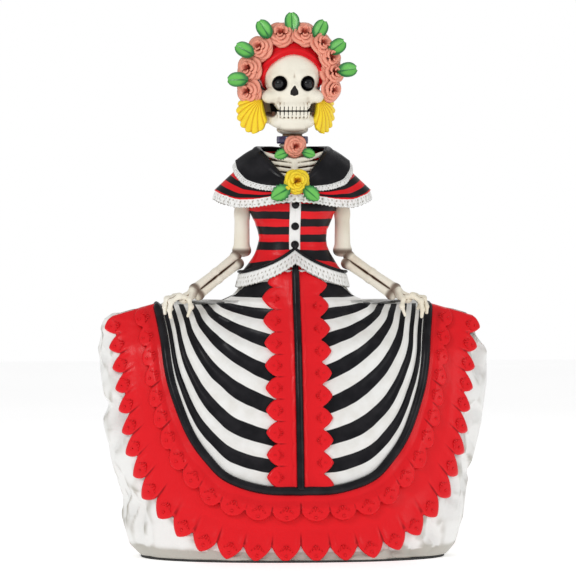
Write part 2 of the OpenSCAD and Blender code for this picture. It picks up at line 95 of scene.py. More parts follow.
soft_light("window_left", (-0.75, -1.0, 0.85), 0.45, 4.6)
soft_light("window_right", (0.9, -0.8, 0.5), 0.5, 1.6)
soft_light("light_behind", (0.3, 0.9, 0.9), 0.6, 1.2)
room = bpy.data.worlds.new("room")
room.use_nodes = True
walls = room.node_tree.nodes["Background"]
walls.inputs["Color"].default_value = (1.0, 1.0, 1.0, 1)
walls.inputs["Strength"].default_value = 0.54
backdrop = room.node_tree.nodes.new("ShaderNodeBackground")
backdrop.inputs["Color"].default_value = (1.0, 1.0, 1.0, 1)
seen = room.node_tree.nodes.new("ShaderNodeLightPath")
either = room.node_tree.nodes.new("ShaderNodeMixShader")
room.node_tree.links.new(seen.outputs["Is Camera Ray"], either.inputs["Fac"])
room.node_tree.links.new(walls.outputs[0], either.inputs[1])
room.node_tree.links.new(backdrop.outputs[0], either.inputs[2])
room.node_tree.links.new(either.outputs[0], room.node_tree.nodes["World Output"].inputs["Surface"])
scene.world = room
scene.view_settings.view_transform = "Standard"


class Tone:
    """A shader value: sums and products of tones and numbers add their own Math nodes."""

    def __init__(self, paint, socket):
        self.paint = paint
        self.socket = socket

    def _with(self, operation, first, second=0.0):
        return self.paint.node("ShaderNodeMath", {"operation": operation}, first, second)

    def __add__(self, other): return self._with("ADD", self, other)
    def __radd__(self, other): return self._with("ADD", other, self)
    def __sub__(self, other): return self._with("SUBTRACT", self, other)
    def __rsub__(self, other): return self._with("SUBTRACT", other, self)
    def __mul__(self, other): return self._with("MULTIPLY", self, other)
    def __rmul__(self, other): return self._with("MULTIPLY", other, self)
    def fraction(self): return self._with("FRACT", self)
    def size(self): return self._with("ABSOLUTE", self)

    def rise(self, low, high):
        """0 below low, 1 above high, smooth between."""
        return self.paint.node("ShaderNodeMapRange", {"interpolation_type": "SMOOTHSTEP"}, self, low, high,
                               0.0, 1.0)


class Paint:
    """A material under way: its nodes are added by calls and joined to its shader at the end."""

    def __init__(self, name, roughness=0.4, coat=0.0, specular=0.5):
        self.material = bpy.data.materials.new(name)
        self.material.use_nodes = True
        self.tree = self.material.node_tree
        self.shader = self.tree.nodes["Principled BSDF"]
        self.shader.inputs["Roughness"].default_value = roughness
        self.shader.inputs["Coat Weight"].default_value = coat
        self.shader.inputs["Coat Roughness"].default_value = 0.08
        self.shader.inputs["Specular IOR Level"].default_value = specular

    def node(self, kind, settings=None, *values, out=0, **named):
        made = self.tree.nodes.new(kind)
        for key, value in (settings or {}).items():
            setattr(made, key, value)
        for key, value in list(enumerate(values)) + list(named.items()):
            socket = made.inputs[key.replace("_", " ")] if isinstance(key, str) else made.inputs[key]
            if isinstance(value, Tone):
                self.tree.links.new(value.socket, socket)
            elif value is not None:
                socket.default_value = value
        return Tone(self, made.outputs[out])

    def place(self):
        return self.node("ShaderNodeTexCoord", out="Object")

    def on_mesh(self, name):
        return self.node("ShaderNodeAttribute", {"attribute_name": name}, out="Fac")

    def noise(self, scale, detail=3.0, rough=0.5, stretch=(1, 1, 1)):
        """Cloudy noise with lumps of about 1 / scale metres."""
        spot = self.node("ShaderNodeMapping", None, self.place(), Scale=stretch)
        return self.node("ShaderNodeTexNoise", None, Vector=spot, Scale=scale, Detail=detail,
                         Roughness=rough)

    def blend(self, factor, first, second):
        """A colour from first, where factor is 0, to second, where it is 1."""
        made = self.tree.nodes.new("ShaderNodeMix")
        made.data_type = "RGBA"
        for socket, value in ((made.inputs[0], factor), (made.inputs[6], first), (made.inputs[7], second)):
            if isinstance(value, Tone):
                self.tree.links.new(value.socket, socket)
            else:
                socket.default_value = value if isinstance(value, (int, float)) else (*value, 1.0)
        return Tone(self, made.outputs[2])

    def finish(self, colour, height=None, depth_mm=0.1):
        if isinstance(colour, Tone):
            self.tree.links.new(colour.socket, self.shader.inputs["Base Color"])
        else:
            self.shader.inputs["Base Color"].default_value = (*colour, 1.0)
        if height is not None:
            bump = self.node("ShaderNodeBump", None, Distance=depth_mm / 1000, Strength=1.0, Height=height,
                             out="Normal")
            self.tree.links.new(bump.socket, self.shader.inputs["Normal"])
        return self.material


table = Paint("table_top", roughness=0.6, specular=0.1)
table.shader.inputs["Emission Color"].default_value = (1.0, 1.0, 1.0, 1)
table.shader.inputs["Emission Strength"].default_value = 0.45
table.finish(table.blend(table.noise(6.0).rise(0.2, 0.8), (0.93, 0.93, 0.93), (0.96, 0.96, 0.96)),
             table.noise(900.0), 0.02)


def mesh_piece(name, points, faces, paint, node_names=(), slot=None, smooth=True, marks=None):
    """A piece from points in millimetres, riding on the figure."""
    mesh = bpy.data.meshes.new(name)
    mesh.from_pydata((np.asarray(points) / 1000).tolist(), [], [list(map(int, f)) for f in faces])
    mesh.materials.append(paint)
    mesh.polygons.foreach_set("use_smooth", [smooth] * len(mesh.polygons))
    piece = bpy.data.objects.new(name, mesh)
    scene.collection.objects.link(piece)
    for key, values in (marks or {}).items():
        mark(piece, key, values)
    if slot:
        settle(piece, node_names)
    return piece


def mark(piece, key, values):
    """Stores one number at each point of a piece, for its material to read."""
    layer = piece.data.attributes.get(key) or piece.data.attributes.new(key, "FLOAT", "POINT")
    layer.data.foreach_set("value", np.asarray(values, dtype=np.float32))


def settle(piece, node_names):
    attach(piece, BODY)
    if node_names:
        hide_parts(*node_names)


floor = mesh_piece("studio_floor", [(-2500, -2500, 0), (2500, -2500, 0), (2500, 2500, 0), (-2500, 2500, 0)],
                   [(0, 1, 2, 3)], table.material)


# ---------------------------------------------------------------- petticoat
# The underskirt is a shell of pasted paper, crumpled while it was wet and painted white.
# It carries the figure: everything else on the skirt is glued to it.
def mm_box(node):
    low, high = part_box(node)
    return np.array(low) * 1000, np.array(high) * 1000


def ease(t):
    t = np.clip(t, 0, 1)
    return t * t * (3 - 2 * t)


def table_of(pairs, x):
    pairs = np.asarray(pairs, dtype=float)
    return np.interp(x, pairs[:, 0], pairs[:, 1])


def curve_of(points, t):
    """A smooth curve through points, t from 0 to 1 by its length."""
    points = np.asarray(points, dtype=float)
    ends = np.vstack([2 * points[0] - points[1], points, 2 * points[-1] - points[-2]])
    fine = []
    for i in range(len(points) - 1):
        a, b, c, d = ends[i:i + 4]
        u = np.linspace(0, 1, 24, endpoint=False)[:, None]
        fine.append(0.5 * (2 * b + (c - a) * u + (2 * a - 5 * b + 4 * c - d) * u ** 2
                           + (3 * b - a - 3 * c + d) * u ** 3))
    fine = np.vstack(fine + [points[-1:]])
    run = np.concatenate([[0], np.cumsum(np.linalg.norm(np.diff(fine, axis=0), axis=1))])
    t = np.asarray(t) * run[-1]
    return np.stack([np.interp(t, run, fine[:, k]) for k in range(fine.shape[1])], -1)


shell_low, shell_high = mm_box("petticoat_shell")
skirt_w = shell_high[0] - shell_low[0]
skirt_d = shell_high[1] - shell_low[1]
waist_z = shell_high[2]
skirt_h = waist_z - 15
skirt_side = [(0, 0.775), (0.05, 0.83), (0.15, 0.87), (0.27, 0.89), (0.37, 0.92), (0.52, 0.965),
              (0.68, 0.993), (0.83, 1), (0.9, 0.985), (0.94, 0.955), (0.97, 0.9), (0.988, 0.82), (1, 0.72)]
waist_side = [(skirt_h + 0.8, 45), (skirt_h + 4, 37), (skirt_h + 8, 33), (waist_z, 29)]
side_line = [(z * skirt_h, w * skirt_w / 2) for z, w in skirt_side] + waist_side
mid_line = [(0, skirt_d / 2), (30, skirt_d / 2 - 2.5), (60, skirt_d / 2 - 7), (90, skirt_d / 2 - 13),
            (120, skirt_d / 2 - 21), (skirt_h, skirt_d / 2 - 31), (waist_z, 18.5)]
hem_line = [(0, 1.2), (11, 1.3), (28, 1.8), (43, 3.3), (56, 7.5), (66, 14.3), (76.5, 24.5), (85.5, 36),
            (90.5, 50), (94.4, 62.7), (96.2, 77.6), (98.3, 90.8), (100, 105), (101.5, 115.7),
            (103.6, 127), (106, 133.5)]


def depth(x, z):
    """How far the skirt's surface stands in front of its middle plane, seen from the front."""
    roundness = 2.3 - 0.9 * np.clip(z / skirt_h, 0, 1) ** 1.5
    side = table_of(side_line, z)
    brow = skirt_h + 30 * ease((46 - np.abs(x)) / 16)
    over = np.clip((z - brow + 11) / 11, 0, 1)
    edge = np.maximum(0.25, np.sqrt(1 - over * over))
    near_top = ease((z - skirt_h + 30) / 30)
    cone = np.clip(np.abs(x) / np.minimum(side, side + (45 - side) * near_top), 0, 1)
    cloth = np.clip(np.abs(x) / side, 0, 1)
    shape = np.maximum((1 - cone ** roundness) ** (1 / roundness),
                       (1 - cloth ** roundness) ** (1 / roundness) * (1 - 0.32 * near_top))
    return table_of(mid_line, z) * shape * edge


def grid_faces(rows, columns, start=0, around=False, flip=False):
    faces = []
    for i in range(rows - 1):
        for j in range(columns if around else columns - 1):
            a, b = start + i * columns + j, start + i * columns + (j + 1) % columns
            quad = (a, b, b + columns, a + columns)
            faces.append(quad[::-1] if flip else quad)
    return faces


def normals_of(grid, around=False):
    """Unit normals of a grid of points, rows by columns."""
    if around:
        along = np.roll(grid, -1, 1) - np.roll(grid, 1, 1)
    else:
        along = np.gradient(grid, axis=1)
    up = np.gradient(grid, axis=0)
    normal = np.cross(along, up)
    return normal / np.maximum(np.linalg.norm(normal, axis=-1, keepdims=True), 1e-9)


def nearest(points, seeds):
    """Distance from each point to the nearest of the seeds."""
    flat = points.reshape(-1, 3)
    found = np.empty(len(flat))
    for i in range(0, len(flat), 4000):
        found[i:i + 4000] = np.sqrt(((flat[i:i + 4000, None] - seeds[None]) ** 2).sum(-1)).min(1)
    return found.reshape(points.shape[:-1])


def creases(points, count, seed):
    """The folds of crushed paper: sharp ridges and sharp valleys, from about -1 to 1."""
    random = np.random.default_rng(seed)
    low, high = points.reshape(-1, 3).min(0) - 5, points.reshape(-1, 3).max(0) + 5
    ridge = nearest(points, random.uniform(low, high, (count, 3)))
    valley = nearest(points, random.uniform(low, high, (count, 3)))
    rough = ridge - valley
    return rough / np.abs(rough).max()


columns_round = 360
turn = np.linspace(0, 2 * math.pi, columns_round, endpoint=False)
levels = np.concatenate([np.linspace(1.2, 0.9 * skirt_h, 104), np.linspace(0.91, 1.0, 22) * skirt_h,
                         skirt_h + np.array([0.8, 2.5, 4, 6, 8, 11]), [waist_z]])
ring_x = table_of(side_line, levels)[:, None] * np.cos(turn)[None]
ring_z = np.repeat(levels[:, None], columns_round, 1)
ring_y = -np.sign(np.sin(turn).round(6))[None] * depth(ring_x, ring_z)
petticoat_grid = np.stack([ring_x, ring_y, ring_z], -1)
fold = 11.0 * creases(petticoat_grid * (1, 1, 0.7), 620, 4) + 3.2 * creases(petticoat_grid, 2200, 9)
sag = np.clip((0.5 - np.abs(np.sin(turn))) * 2, 0, 1)[None] * ease((skirt_h - 4 - ring_z) / 30)
gather = np.sin(ring_z / 7.5 + 5 * np.cos(turn)[None]) * 1.1 * sag
calm = ease((skirt_h + 2 - ring_z) / 6) * ease((ring_z - 0.5) / 5) * 0.85 + 0.15
outward = -normals_of(petticoat_grid, around=True)
hem_x = table_of([(z, x) for x, z in hem_line], ring_z)
covered = ease((hem_x - 4 - np.abs(ring_x)) / 4)
swell = -0.1 - 0.9 * np.logaddexp(0, (0.2 - (fold + gather) * calm) / 0.9)
swell = swell * (1 - covered) - 1.9 * covered
petticoat_grid = petticoat_grid + outward * swell[..., None]
petticoat_grid[..., 2] = np.clip(petticoat_grid[..., 2], 1.2, waist_z)

enamel_white = Paint("white_enamel", roughness=0.42)
# Painted shade darkens the white in the creases of the crumpled paper, mixed with a little random tone.
crease_shade_and_tone = enamel_white.on_mesh("hollow") * 1.1 + enamel_white.noise(60.0, 4.0) * 0.25 - 0.1
white_colour = enamel_white.blend(crease_shade_and_tone.rise(0.12, 0.85), (0.86, 0.86, 0.84), (0.47, 0.45, 0.40))
enamel_white.finish(white_colour, enamel_white.noise(420.0, 5.0, 0.6), 0.25)


def hollows(piece, passes, deep_mm):
    """Marks how far each point lies below the smoothed surface: 1 in a crease as deep as deep_mm."""
    mesh = piece.data
    points = np.empty(len(mesh.vertices) * 3)
    mesh.vertices.foreach_get("co", points)
    points = points.reshape(-1, 3) * 1000
    normal = np.empty(len(mesh.vertices) * 3)
    mesh.vertex_normals.foreach_get("vector", normal)
    edges = np.empty(len(mesh.edges) * 2, dtype=np.int64)
    mesh.edges.foreach_get("vertices", edges)
    edges = edges.reshape(-1, 2)
    count = np.maximum(np.bincount(edges.ravel(), minlength=len(points)), 1)[:, None]
    smooth = points.copy()
    for _ in range(passes):
        total = np.zeros_like(points)
        for k in range(3):
            total[:, k] = (np.bincount(edges[:, 0], smooth[edges[:, 1], k], len(points))
                           + np.bincount(edges[:, 1], smooth[edges[:, 0], k], len(points)))
        smooth = 0.4 * smooth + 0.6 * total / count
    below = ((smooth - points) * normal.reshape(-1, 3)).sum(1) / deep_mm
    mark(piece, "hollow", np.clip(below, 0, 1))


def capped_faces(rows, columns):
    """Faces of rings of points, closed at each end by one of the two points that come after them."""
    faces = grid_faces(rows, columns, around=True)
    last = rows * columns
    for j in range(columns):
        k = (j + 1) % columns
        faces += [(last, k, j), (last + 1, last - columns + j, last - columns + k)]
    return faces


def closed_rings(name, grid, paint, node_names, slot):
    """A closed piece from rings of points, with a flat end at the first and last ring."""
    points = np.vstack([grid.reshape(-1, 3), grid[0].mean(0), grid[-1].mean(0)])
    return mesh_piece(name, points, capped_faces(*grid.shape[:2]), paint, node_names, slot)


petticoat = closed_rings("petticoat", petticoat_grid, enamel_white.material, ["petticoat_shell"],
                         "white_paint")
hollows(petticoat, 10, 0.8)


# ---------------------------------------------------------------- striped skirt panels
# Smooth paper glued over the petticoat, front and back, in soft pleats that run from each hand
# to the middle of the skirt. The stripes are brushed on in glossy enamel along the pleats.
piping_line = [(0, 39.4), (20.4, 40.3), (39.4, 46.3), (50.3, 56.4), (60, 70.5), (67.9, 91), (71.5, 106),
               (73.6, 124), (76.5, skirt_h)]
stripe_middle = [(0, waist_z + 3), (0.5, 148.3), (1.5, 136.3), (2.5, 122), (3.5, 103.9), (4.5, 86),
                 (5.5, 67.9), (6.5, 53.4), (7.2, 42)]
stripe_hand_x = [(0, 27), (0.5, 32.5), (1.5, 42), (2.5, 50), (3.5, 57), (4.5, 63), (5.5, 68.5), (6.5, 72.5),
                 (7.2, 76)]
stripe_hand_z = [(0, 152), (0.5, 146.8), (1.5, 142.4), (2.5, 141.2), (7.2, skirt_h - 0.4)]
last_stripe = 7.2
pleat_depth = 0.9


def panel_line(phase, along):
    """Front view of one line of the panel: along from 0 in the middle to 1 at the hand."""
    shape = curve_of(piping_line, np.linspace(0, 1, 200))
    cord_x = shape[:, 0] / piping_line[-1][0]
    cord_z = (shape[:, 1] - piping_line[0][1]) / (skirt_h - piping_line[0][1])
    slant = 0.62 * (1 - ease((phase - 2.5) / 4.2)) * ease(phase / 1.2)

    def climb(fx):
        return np.interp(fx, cord_x, cord_z) * (1 - slant) + slant * fx ** 1.3

    fx = np.interp(along, np.linspace(0, 1, 200), cord_x)
    low, top, reach = (table_of(t, phase) for t in (stripe_middle, stripe_hand_z, stripe_hand_x))
    strip_edge = climb(15.5 / reach)
    low = (low - top * strip_edge) / (1 - strip_edge)
    return reach * fx, low + (top - low) * climb(fx)


def make_outward(piece):
    """Turns all faces outwards."""
    work = bmesh.new()
    work.from_mesh(piece.data)
    bmesh.ops.recalc_face_normals(work, faces=work.faces)
    work.to_mesh(piece.data)
    work.free()


def outward_piece(name, points, faces, paint, node_names, slot, marks=None):
    piece = mesh_piece(name, points, faces, paint, marks=marks)
    make_outward(piece)
    settle(piece, node_names)
    return piece


def slab(top, under):
    """Points and faces of a closed sheet between two grids of points."""
    rows, columns = top.shape[:2]
    count = rows * columns
    faces = grid_faces(rows, columns) + grid_faces(rows, columns, count, flip=True)
    number = np.arange(count).reshape(rows, columns)
    rim = np.concatenate([number[:, 0], number[-1, 1:], number[-2::-1, -1], number[0, -2:0:-1]]).tolist()
    faces += [(a, b, b + count, a + count) for a, b in zip(rim, rim[1:] + rim[:1])]
    return np.vstack([top.reshape(-1, 3), under.reshape(-1, 3)]), faces


def both_faces(values):
    """The same marks for the upper and the lower grid of a slab."""
    return np.tile(values.ravel(), 2)


def skirt_sheet(name, x, z, lift, side, paint, node_names, slot, thick=1.2, marks=None):
    """A closed sheet that lies on the skirt. x, z and lift are grids, and side is -1 in front, 1 behind."""
    top = np.stack([x, side * (depth(x, z) + lift), z], -1)
    under = np.stack([x, side * (depth(x, z) + lift - thick), z], -1)
    both = {key: both_faces(values) for key, values in (marks or {}).items()}
    return outward_piece(name, *slab(top, under), paint, node_names, slot, both)


stripes = Paint("striped_enamel", roughness=0.33, coat=0.04, specular=0.12)
wobble = (stripes.noise(55.0, 2.0) - 0.5) * 0.12
in_black = ((stripes.on_mesh("stripe") + wobble).fraction() - 0.5).size().rise(0.262, 0.238)
smudge = stripes.noise(140.0, 4.0).rise(0.3, 0.8)
white_part = stripes.blend(smudge, (0.87, 0.87, 0.85), (0.78, 0.77, 0.73))
black_part = stripes.blend(smudge, (0.006, 0.006, 0.008), (0.016, 0.015, 0.018))
stripes.finish(stripes.blend(in_black, white_part, black_part),
               stripes.noise(300.0, 4.0, 0.6) + in_black * 0.8, 0.12)

phase = np.linspace(0, last_stripe, 145)[:, None]
along = np.linspace(-1, 1, 151)[None]
for side, word in ((-1, "front"), (1, "back")):
    half_x, panel_z = panel_line(phase + 0 * along, np.abs(along) + 0 * phase)
    panel_x = half_x * np.sign(along)
    ridge = np.cos(2 * math.pi * phase) * np.sin(math.pi * np.clip(np.abs(along), 0, 1)) ** 0.7
    panel_lift = 0.1 + pleat_depth * ridge
    skirt_sheet("skirt_panel_" + word + "_painted", panel_x, panel_z, panel_lift, side, stripes.material,
                ["skirt_panel_" + word], "striped_paint", marks={"stripe": phase + 0 * along})


# ---------------------------------------------------------------- flounces
# Two tiers of pasted paper round the striped panel. Each has a moulded hem of petals, each petal
# pressed with a dot and five strokes. The whole is dipped in glossy red enamel.
upper_share = 0.43
crowding = 0.23
side_count, upper_count = 30, 26


def band_point(s, q):
    """Front view of a flounce: s runs from -1 at one hand to 1 at the other, q from piping to hem."""
    inner = curve_of(piping_line, np.abs(s))
    outer = curve_of(hem_line, np.abs(s))
    x = inner[..., 0] + (outer[..., 0] - inner[..., 0]) * q
    z = inner[..., 1] + (outer[..., 1] - inner[..., 1]) * q
    return x * np.sign(s), z


def band_frame(s, q, side, lift):
    """Where a point of a flounce lies, and the turn that lays a pressed mark on it, tip towards the hem."""
    def spot(s, q):
        x, z = band_point(np.array(s), np.array(q))
        return np.array([x, side * (depth(x, z) + lift), z], dtype=float)
    here = spot(s, q)
    out = spot(s, q + 0.02) - spot(s, q - 0.02)
    across = spot(s + 0.004, q) - spot(s - 0.004, q)
    face = np.cross(across, out)
    face *= -1 if face[1] * side < 0 else 1
    return here, out, face


def turn_to(out, face):
    """The turn that brings +Y to out and +Z to face."""
    z = Vector(face).normalized()
    x = Vector(out).cross(z).normalized()
    y = z.cross(x)
    return Matrix((x, y, z)).transposed().to_euler()


def petal_place(s):
    """Where s falls in a row of petals, from 0 to 1: they are wide below and crowded towards the hands."""
    return 0.5 + 0.5 * (s * (1 - crowding) + crowding * s * np.abs(s))


def flounce(name, count, share, lift, side, thick, point):
    """A tier of the flounce down to share of the band, its petals more pointed the nearer point is to 1."""
    columns = count * 14 + 1
    rows = 34
    open_at = 0.3 + 0.28 * point
    s = np.linspace(-1, 1, columns)[None] + np.zeros((rows, 1))
    q = (np.linspace(0, 1, rows) ** 0.85)[:, None] + np.zeros((1, columns))
    across = 2 * ((petal_place(s) * count) % 1) - 1
    tip = (1 - np.abs(across) ** (2.2 - 0.8 * point)) ** (0.5 + 0.25 * point)
    inner, outer = np.stack(band_point(s, 0 * q)), np.stack(band_point(s, 0 * q + share))
    band = np.hypot(*(outer - inner))
    rise = (6.4 + 2.6 * (1 - np.abs(s))) * (0.7 + 0.3 * point)
    reach = share * (q * (1 + (tip - 0.72) * rise / band * ease((q - open_at) / (1 - open_at))))
    x, z = band_point(s, reach)
    z = np.maximum(z + 1.8 * q * (1 - np.abs(s)), 1.2)
    run = ease((q - open_at) / 0.32)
    rim = np.exp(-((tip - 0.38) / 0.2) ** 2)
    puff = (0.3 + 0.7 * np.sqrt(1 - np.abs(across) ** 3)) * run * (0.66 + 0.34 * rim)
    roll = np.sqrt(np.clip(1 - ((q - 0.965) / 0.035).clip(0, 1) ** 2, 0, 1))
    ruffle = 0.3 * np.sin(s * count * math.pi * 0.5) * (1 - q)
    raised = lift + ruffle + puff * (2.6 - 0.8 * point) - 0.9 * (1 - roll)
    return skirt_sheet(name, x, z, raised, side, enamel_red.material, [name[:-8]], "red_enamel", thick)


enamel_red = Paint("red_enamel", roughness=0.3, coat=0.05, specular=0.12)
# Painted shade darkens the red in creases and grooves, mixed with a little random tone.
red_crease_shade = enamel_red.on_mesh("hollow") * 0.9 + enamel_red.noise(70.0, 3.0) * 0.3 - 0.12
red_colour = enamel_red.blend(red_crease_shade.rise(0.05, 0.8), (0.77, 0.012, 0.018), (0.36, 0.004, 0.008))
enamel_red.finish(red_colour, enamel_red.noise(260.0, 4.0, 0.55), 0.22)


def copies_tree():
    """The node tree that lays a copy of one shape at every point, turned and sized by the point."""
    tree = bpy.data.node_groups.new("lay_copies", "GeometryNodeTree")
    tree.interface.new_socket(name="Spots", in_out="INPUT", socket_type="NodeSocketGeometry")
    tree.interface.new_socket(name="Shape", in_out="INPUT", socket_type="NodeSocketObject")
    tree.interface.new_socket(name="Finish", in_out="INPUT", socket_type="NodeSocketMaterial")
    tree.interface.new_socket(name="Piece", in_out="OUTPUT", socket_type="NodeSocketGeometry")
    add, link = tree.nodes.new, tree.links.new
    given, made = add("NodeGroupInput"), add("NodeGroupOutput")
    shape = add("GeometryNodeObjectInfo")
    copies = add("GeometryNodeInstanceOnPoints")
    turned = add("FunctionNodeEulerToRotation")
    real, coat = add("GeometryNodeRealizeInstances"), add("GeometryNodeSetMaterial")
    for name, socket in (("turn", turned.inputs[0]), ("size", copies.inputs["Scale"])):
        reader = add("GeometryNodeInputNamedAttribute")
        reader.data_type = "FLOAT_VECTOR"
        reader.inputs["Name"].default_value = name
        link(reader.outputs["Attribute"], socket)
    link(given.outputs["Spots"], copies.inputs["Points"])
    link(given.outputs["Shape"], shape.inputs["Object"])
    link(shape.outputs["Geometry"], copies.inputs["Instance"])
    link(turned.outputs[0], copies.inputs["Rotation"])
    link(copies.outputs[0], real.inputs[0])
    link(real.outputs[0], coat.inputs["Geometry"])
    link(given.outputs["Finish"], coat.inputs["Material"])
    link(coat.outputs[0], made.inputs["Piece"])
    return tree


lay_copies = copies_tree()


def lay(name, shape, spots, paint, node_names=(), slot=None):
    """Lays copies of a shape at spots of (place, euler turn, size) and returns one plain piece."""
    mesh = bpy.data.meshes.new(name + "_spots")
    mesh.from_pydata([tuple(np.asarray(p) / 1000) for p, _, _ in spots], [], [])
    for key, column in (("turn", 1), ("size", 2)):
        layer = mesh.attributes.new(key, "FLOAT_VECTOR", "POINT")
        values = np.array([np.broadcast_to(np.array(spot[column]), 3) for spot in spots], dtype=np.float32)
        layer.data.foreach_set("vector", values.ravel())
    piece = bpy.data.objects.new(name, mesh)
    scene.collection.objects.link(piece)
    work = piece.modifiers.new("lay", "NODES")
    work.node_group = lay_copies
    sockets = lay_copies.interface.items_tree
    inputs = {item.name: item.identifier for item in sockets if item.in_out == "INPUT"}
    work[inputs["Shape"]] = shape
    work[inputs["Finish"]] = paint
    result = bpy.data.meshes.new_from_object(piece.evaluated_get(bpy.context.evaluated_depsgraph_get()))
    piece.modifiers.clear()
    piece.data = result
    result.name = name
    if slot:
        settle(piece, node_names)
    return piece


def pattern(name, points, faces, marks=None, smooth=True):
    """A shape to be copied. It isn't a piece itself, so it is taken off the stage."""
    return mesh_piece(name, points, faces, None, smooth=smooth, marks=marks)


def put_away(shape):
    mesh = shape.data
    bpy.data.objects.remove(shape)
    bpy.data.meshes.remove(mesh)


def drop(length, width, height, centre=(0, 0, 0), angle=0.0, around=8, rings=5):
    """A small smooth drop, as long as length, turned in its plane by angle."""
    points, faces = [(0, -length / 2, 0)], []
    for i in range(1, rings):
        v = math.pi * i / rings
        for j in range(around):
            u = 2 * math.pi * j / around
            wide, high = width / 2 * math.cos(u), height * math.sin(u)
            points.append((wide * math.sin(v), -length / 2 * math.cos(v), high * math.sin(v)))
    points.append((0, length / 2, 0))
    for j in range(around):
        k = (j + 1) % around
        faces.append((0, 1 + j, 1 + k)[::-1])
        for i in range(rings - 2):
            a = 1 + i * around
            faces.append((a + j, a + k, a + around + k, a + around + j)[::-1])
        top = 1 + (rings - 2) * around
        faces.append((len(points) - 1, top + k, top + j)[::-1])
    points = np.array(points)
    c, s = math.cos(angle), math.sin(angle)
    points = points @ np.array([[c, s, 0], [-s, c, 0], [0, 0, 1]]) + np.array(centre)
    return points, faces


def joined(parts):
    points, faces = [], []
    for p, f in parts:
        start = sum(len(q) for q in points)
        points.append(p)
        faces += [tuple(v + start for v in face) for face in f]
    return np.vstack(points), faces


mark_parts = [drop(1.5, 1.5, 0.55, (0, 2.6, 0), around=7, rings=4)]
for step in (-2, -1, 0, 1, 2):
    lean = math.radians(step * 24)
    stroke_at = (3.1 * math.sin(lean), 2.4 - 4.0 * math.cos(lean), -0.05)
    mark_parts.append(drop(2.7, 0.62, 0.42, stroke_at, -lean, 6, 4))
pressed_mark = pattern("pressed_mark", *joined(mark_parts))

for side, word in ((-1, "front"), (1, "back")):
    lower = flounce("lower_flounce_" + word + "_painted", side_count, 1.0, -0.4, side, 1.6, 1.0)
    upper = flounce("upper_flounce_" + word + "_painted", upper_count, upper_share, 1.4, side, 2.2, 0.2)
    for piece in (lower, upper):
        hollows(piece, 6, 0.3)
    spots = []
    fine_s = np.linspace(-1, 1, 2001)
    for count, q, lift in ((side_count, 0.86, 0.95), (upper_count, upper_share * 0.7, 3.25)):
        for k in range(count):
            middle = np.interp((k + 0.5) / count, petal_place(fine_s), fine_s)
            here, out, face = band_frame(middle, q, side, lift)
            spots.append((here, turn_to(out, face), (1.15, 1.15, 1.0)))
    lay("pressed_marks_" + word, pressed_mark, spots, enamel_red.material, (), "red_enamel")


# ---------------------------------------------------------------- hem piping
# A thick cord of rolled paper, painted black. It is glued over the joint of panel and flounce,
# from hand to hand, front and back.
enamel_black = Paint("black_enamel", roughness=0.25, coat=0.06, specular=0.12)
sheen = enamel_black.noise(90.0, 4.0).rise(0.3, 0.8)
enamel_black.finish(enamel_black.blend(sheen, (0.006, 0.006, 0.008), (0.02, 0.019, 0.022)),
                    enamel_black.noise(340.0, 4.0, 0.6), 0.15)


def roll_along(path, radii, around=12, squash=(1.0, 1.0), facing=None):
    """Points and faces of a closed roll along a path, radii by squash across and towards facing."""
    path = np.asarray(path, dtype=float)
    way = np.gradient(path, axis=0)
    way /= np.linalg.norm(way, axis=1, keepdims=True)
    facing = np.array([0.0, -1.0, 0.0]) if facing is None else facing
    across = np.cross(way, facing)
    across /= np.linalg.norm(across, axis=1, keepdims=True)
    out = np.cross(across, way)
    radii = np.broadcast_to(radii, len(path))
    u = np.linspace(0, 2 * math.pi, around, endpoint=False)
    rings = (path[:, None] + across[:, None] * (np.cos(u) * squash[0])[None, :, None] * radii[:, None, None]
             + out[:, None] * (np.sin(u) * squash[1])[None, :, None] * radii[:, None, None])
    points = np.vstack([rings.reshape(-1, 3), path[:1], path[-1:]])
    return points, capped_faces(len(path), around)


def roll_piece(name, path, radii, paint, node_names, slot, **more):
    return outward_piece(name, *roll_along(path, radii, **more), paint, node_names, slot)


for side, word in ((-1, "front"), (1, "back")):
    s = np.linspace(-1, 1, 161)
    x, z = band_point(s, 0 * s)
    path = np.stack([x, side * (depth(x, z) + 1.5), z], -1)
    ends = 1 - 0.55 * ease((np.abs(s) - 0.985) / 0.015)
    roll_piece("hem_piping_" + word + "_painted", path, 2.5 * ends, enamel_black.material,
               ["hem_piping_" + word],
               "black_enamel", squash=(1.0, 0.95), facing=np.array([0.0, side, 0.0]))


# ---------------------------------------------------------------- placket
# Two strips of pasted paper with a hem of petals run down the middle of the skirt, dipped in red.
# They are glued to the panel, and a black paper cord covers their seam.
strip_low = 41.0
strip_high = waist_z + 6.5
strip_petals = 10


def front_depth(x, z):
    """The skirt's depth, carried on upwards under the point of the bodice."""
    return depth(x, np.minimum(z, waist_z)) - 0.36 * np.maximum(z - waist_z, 0)


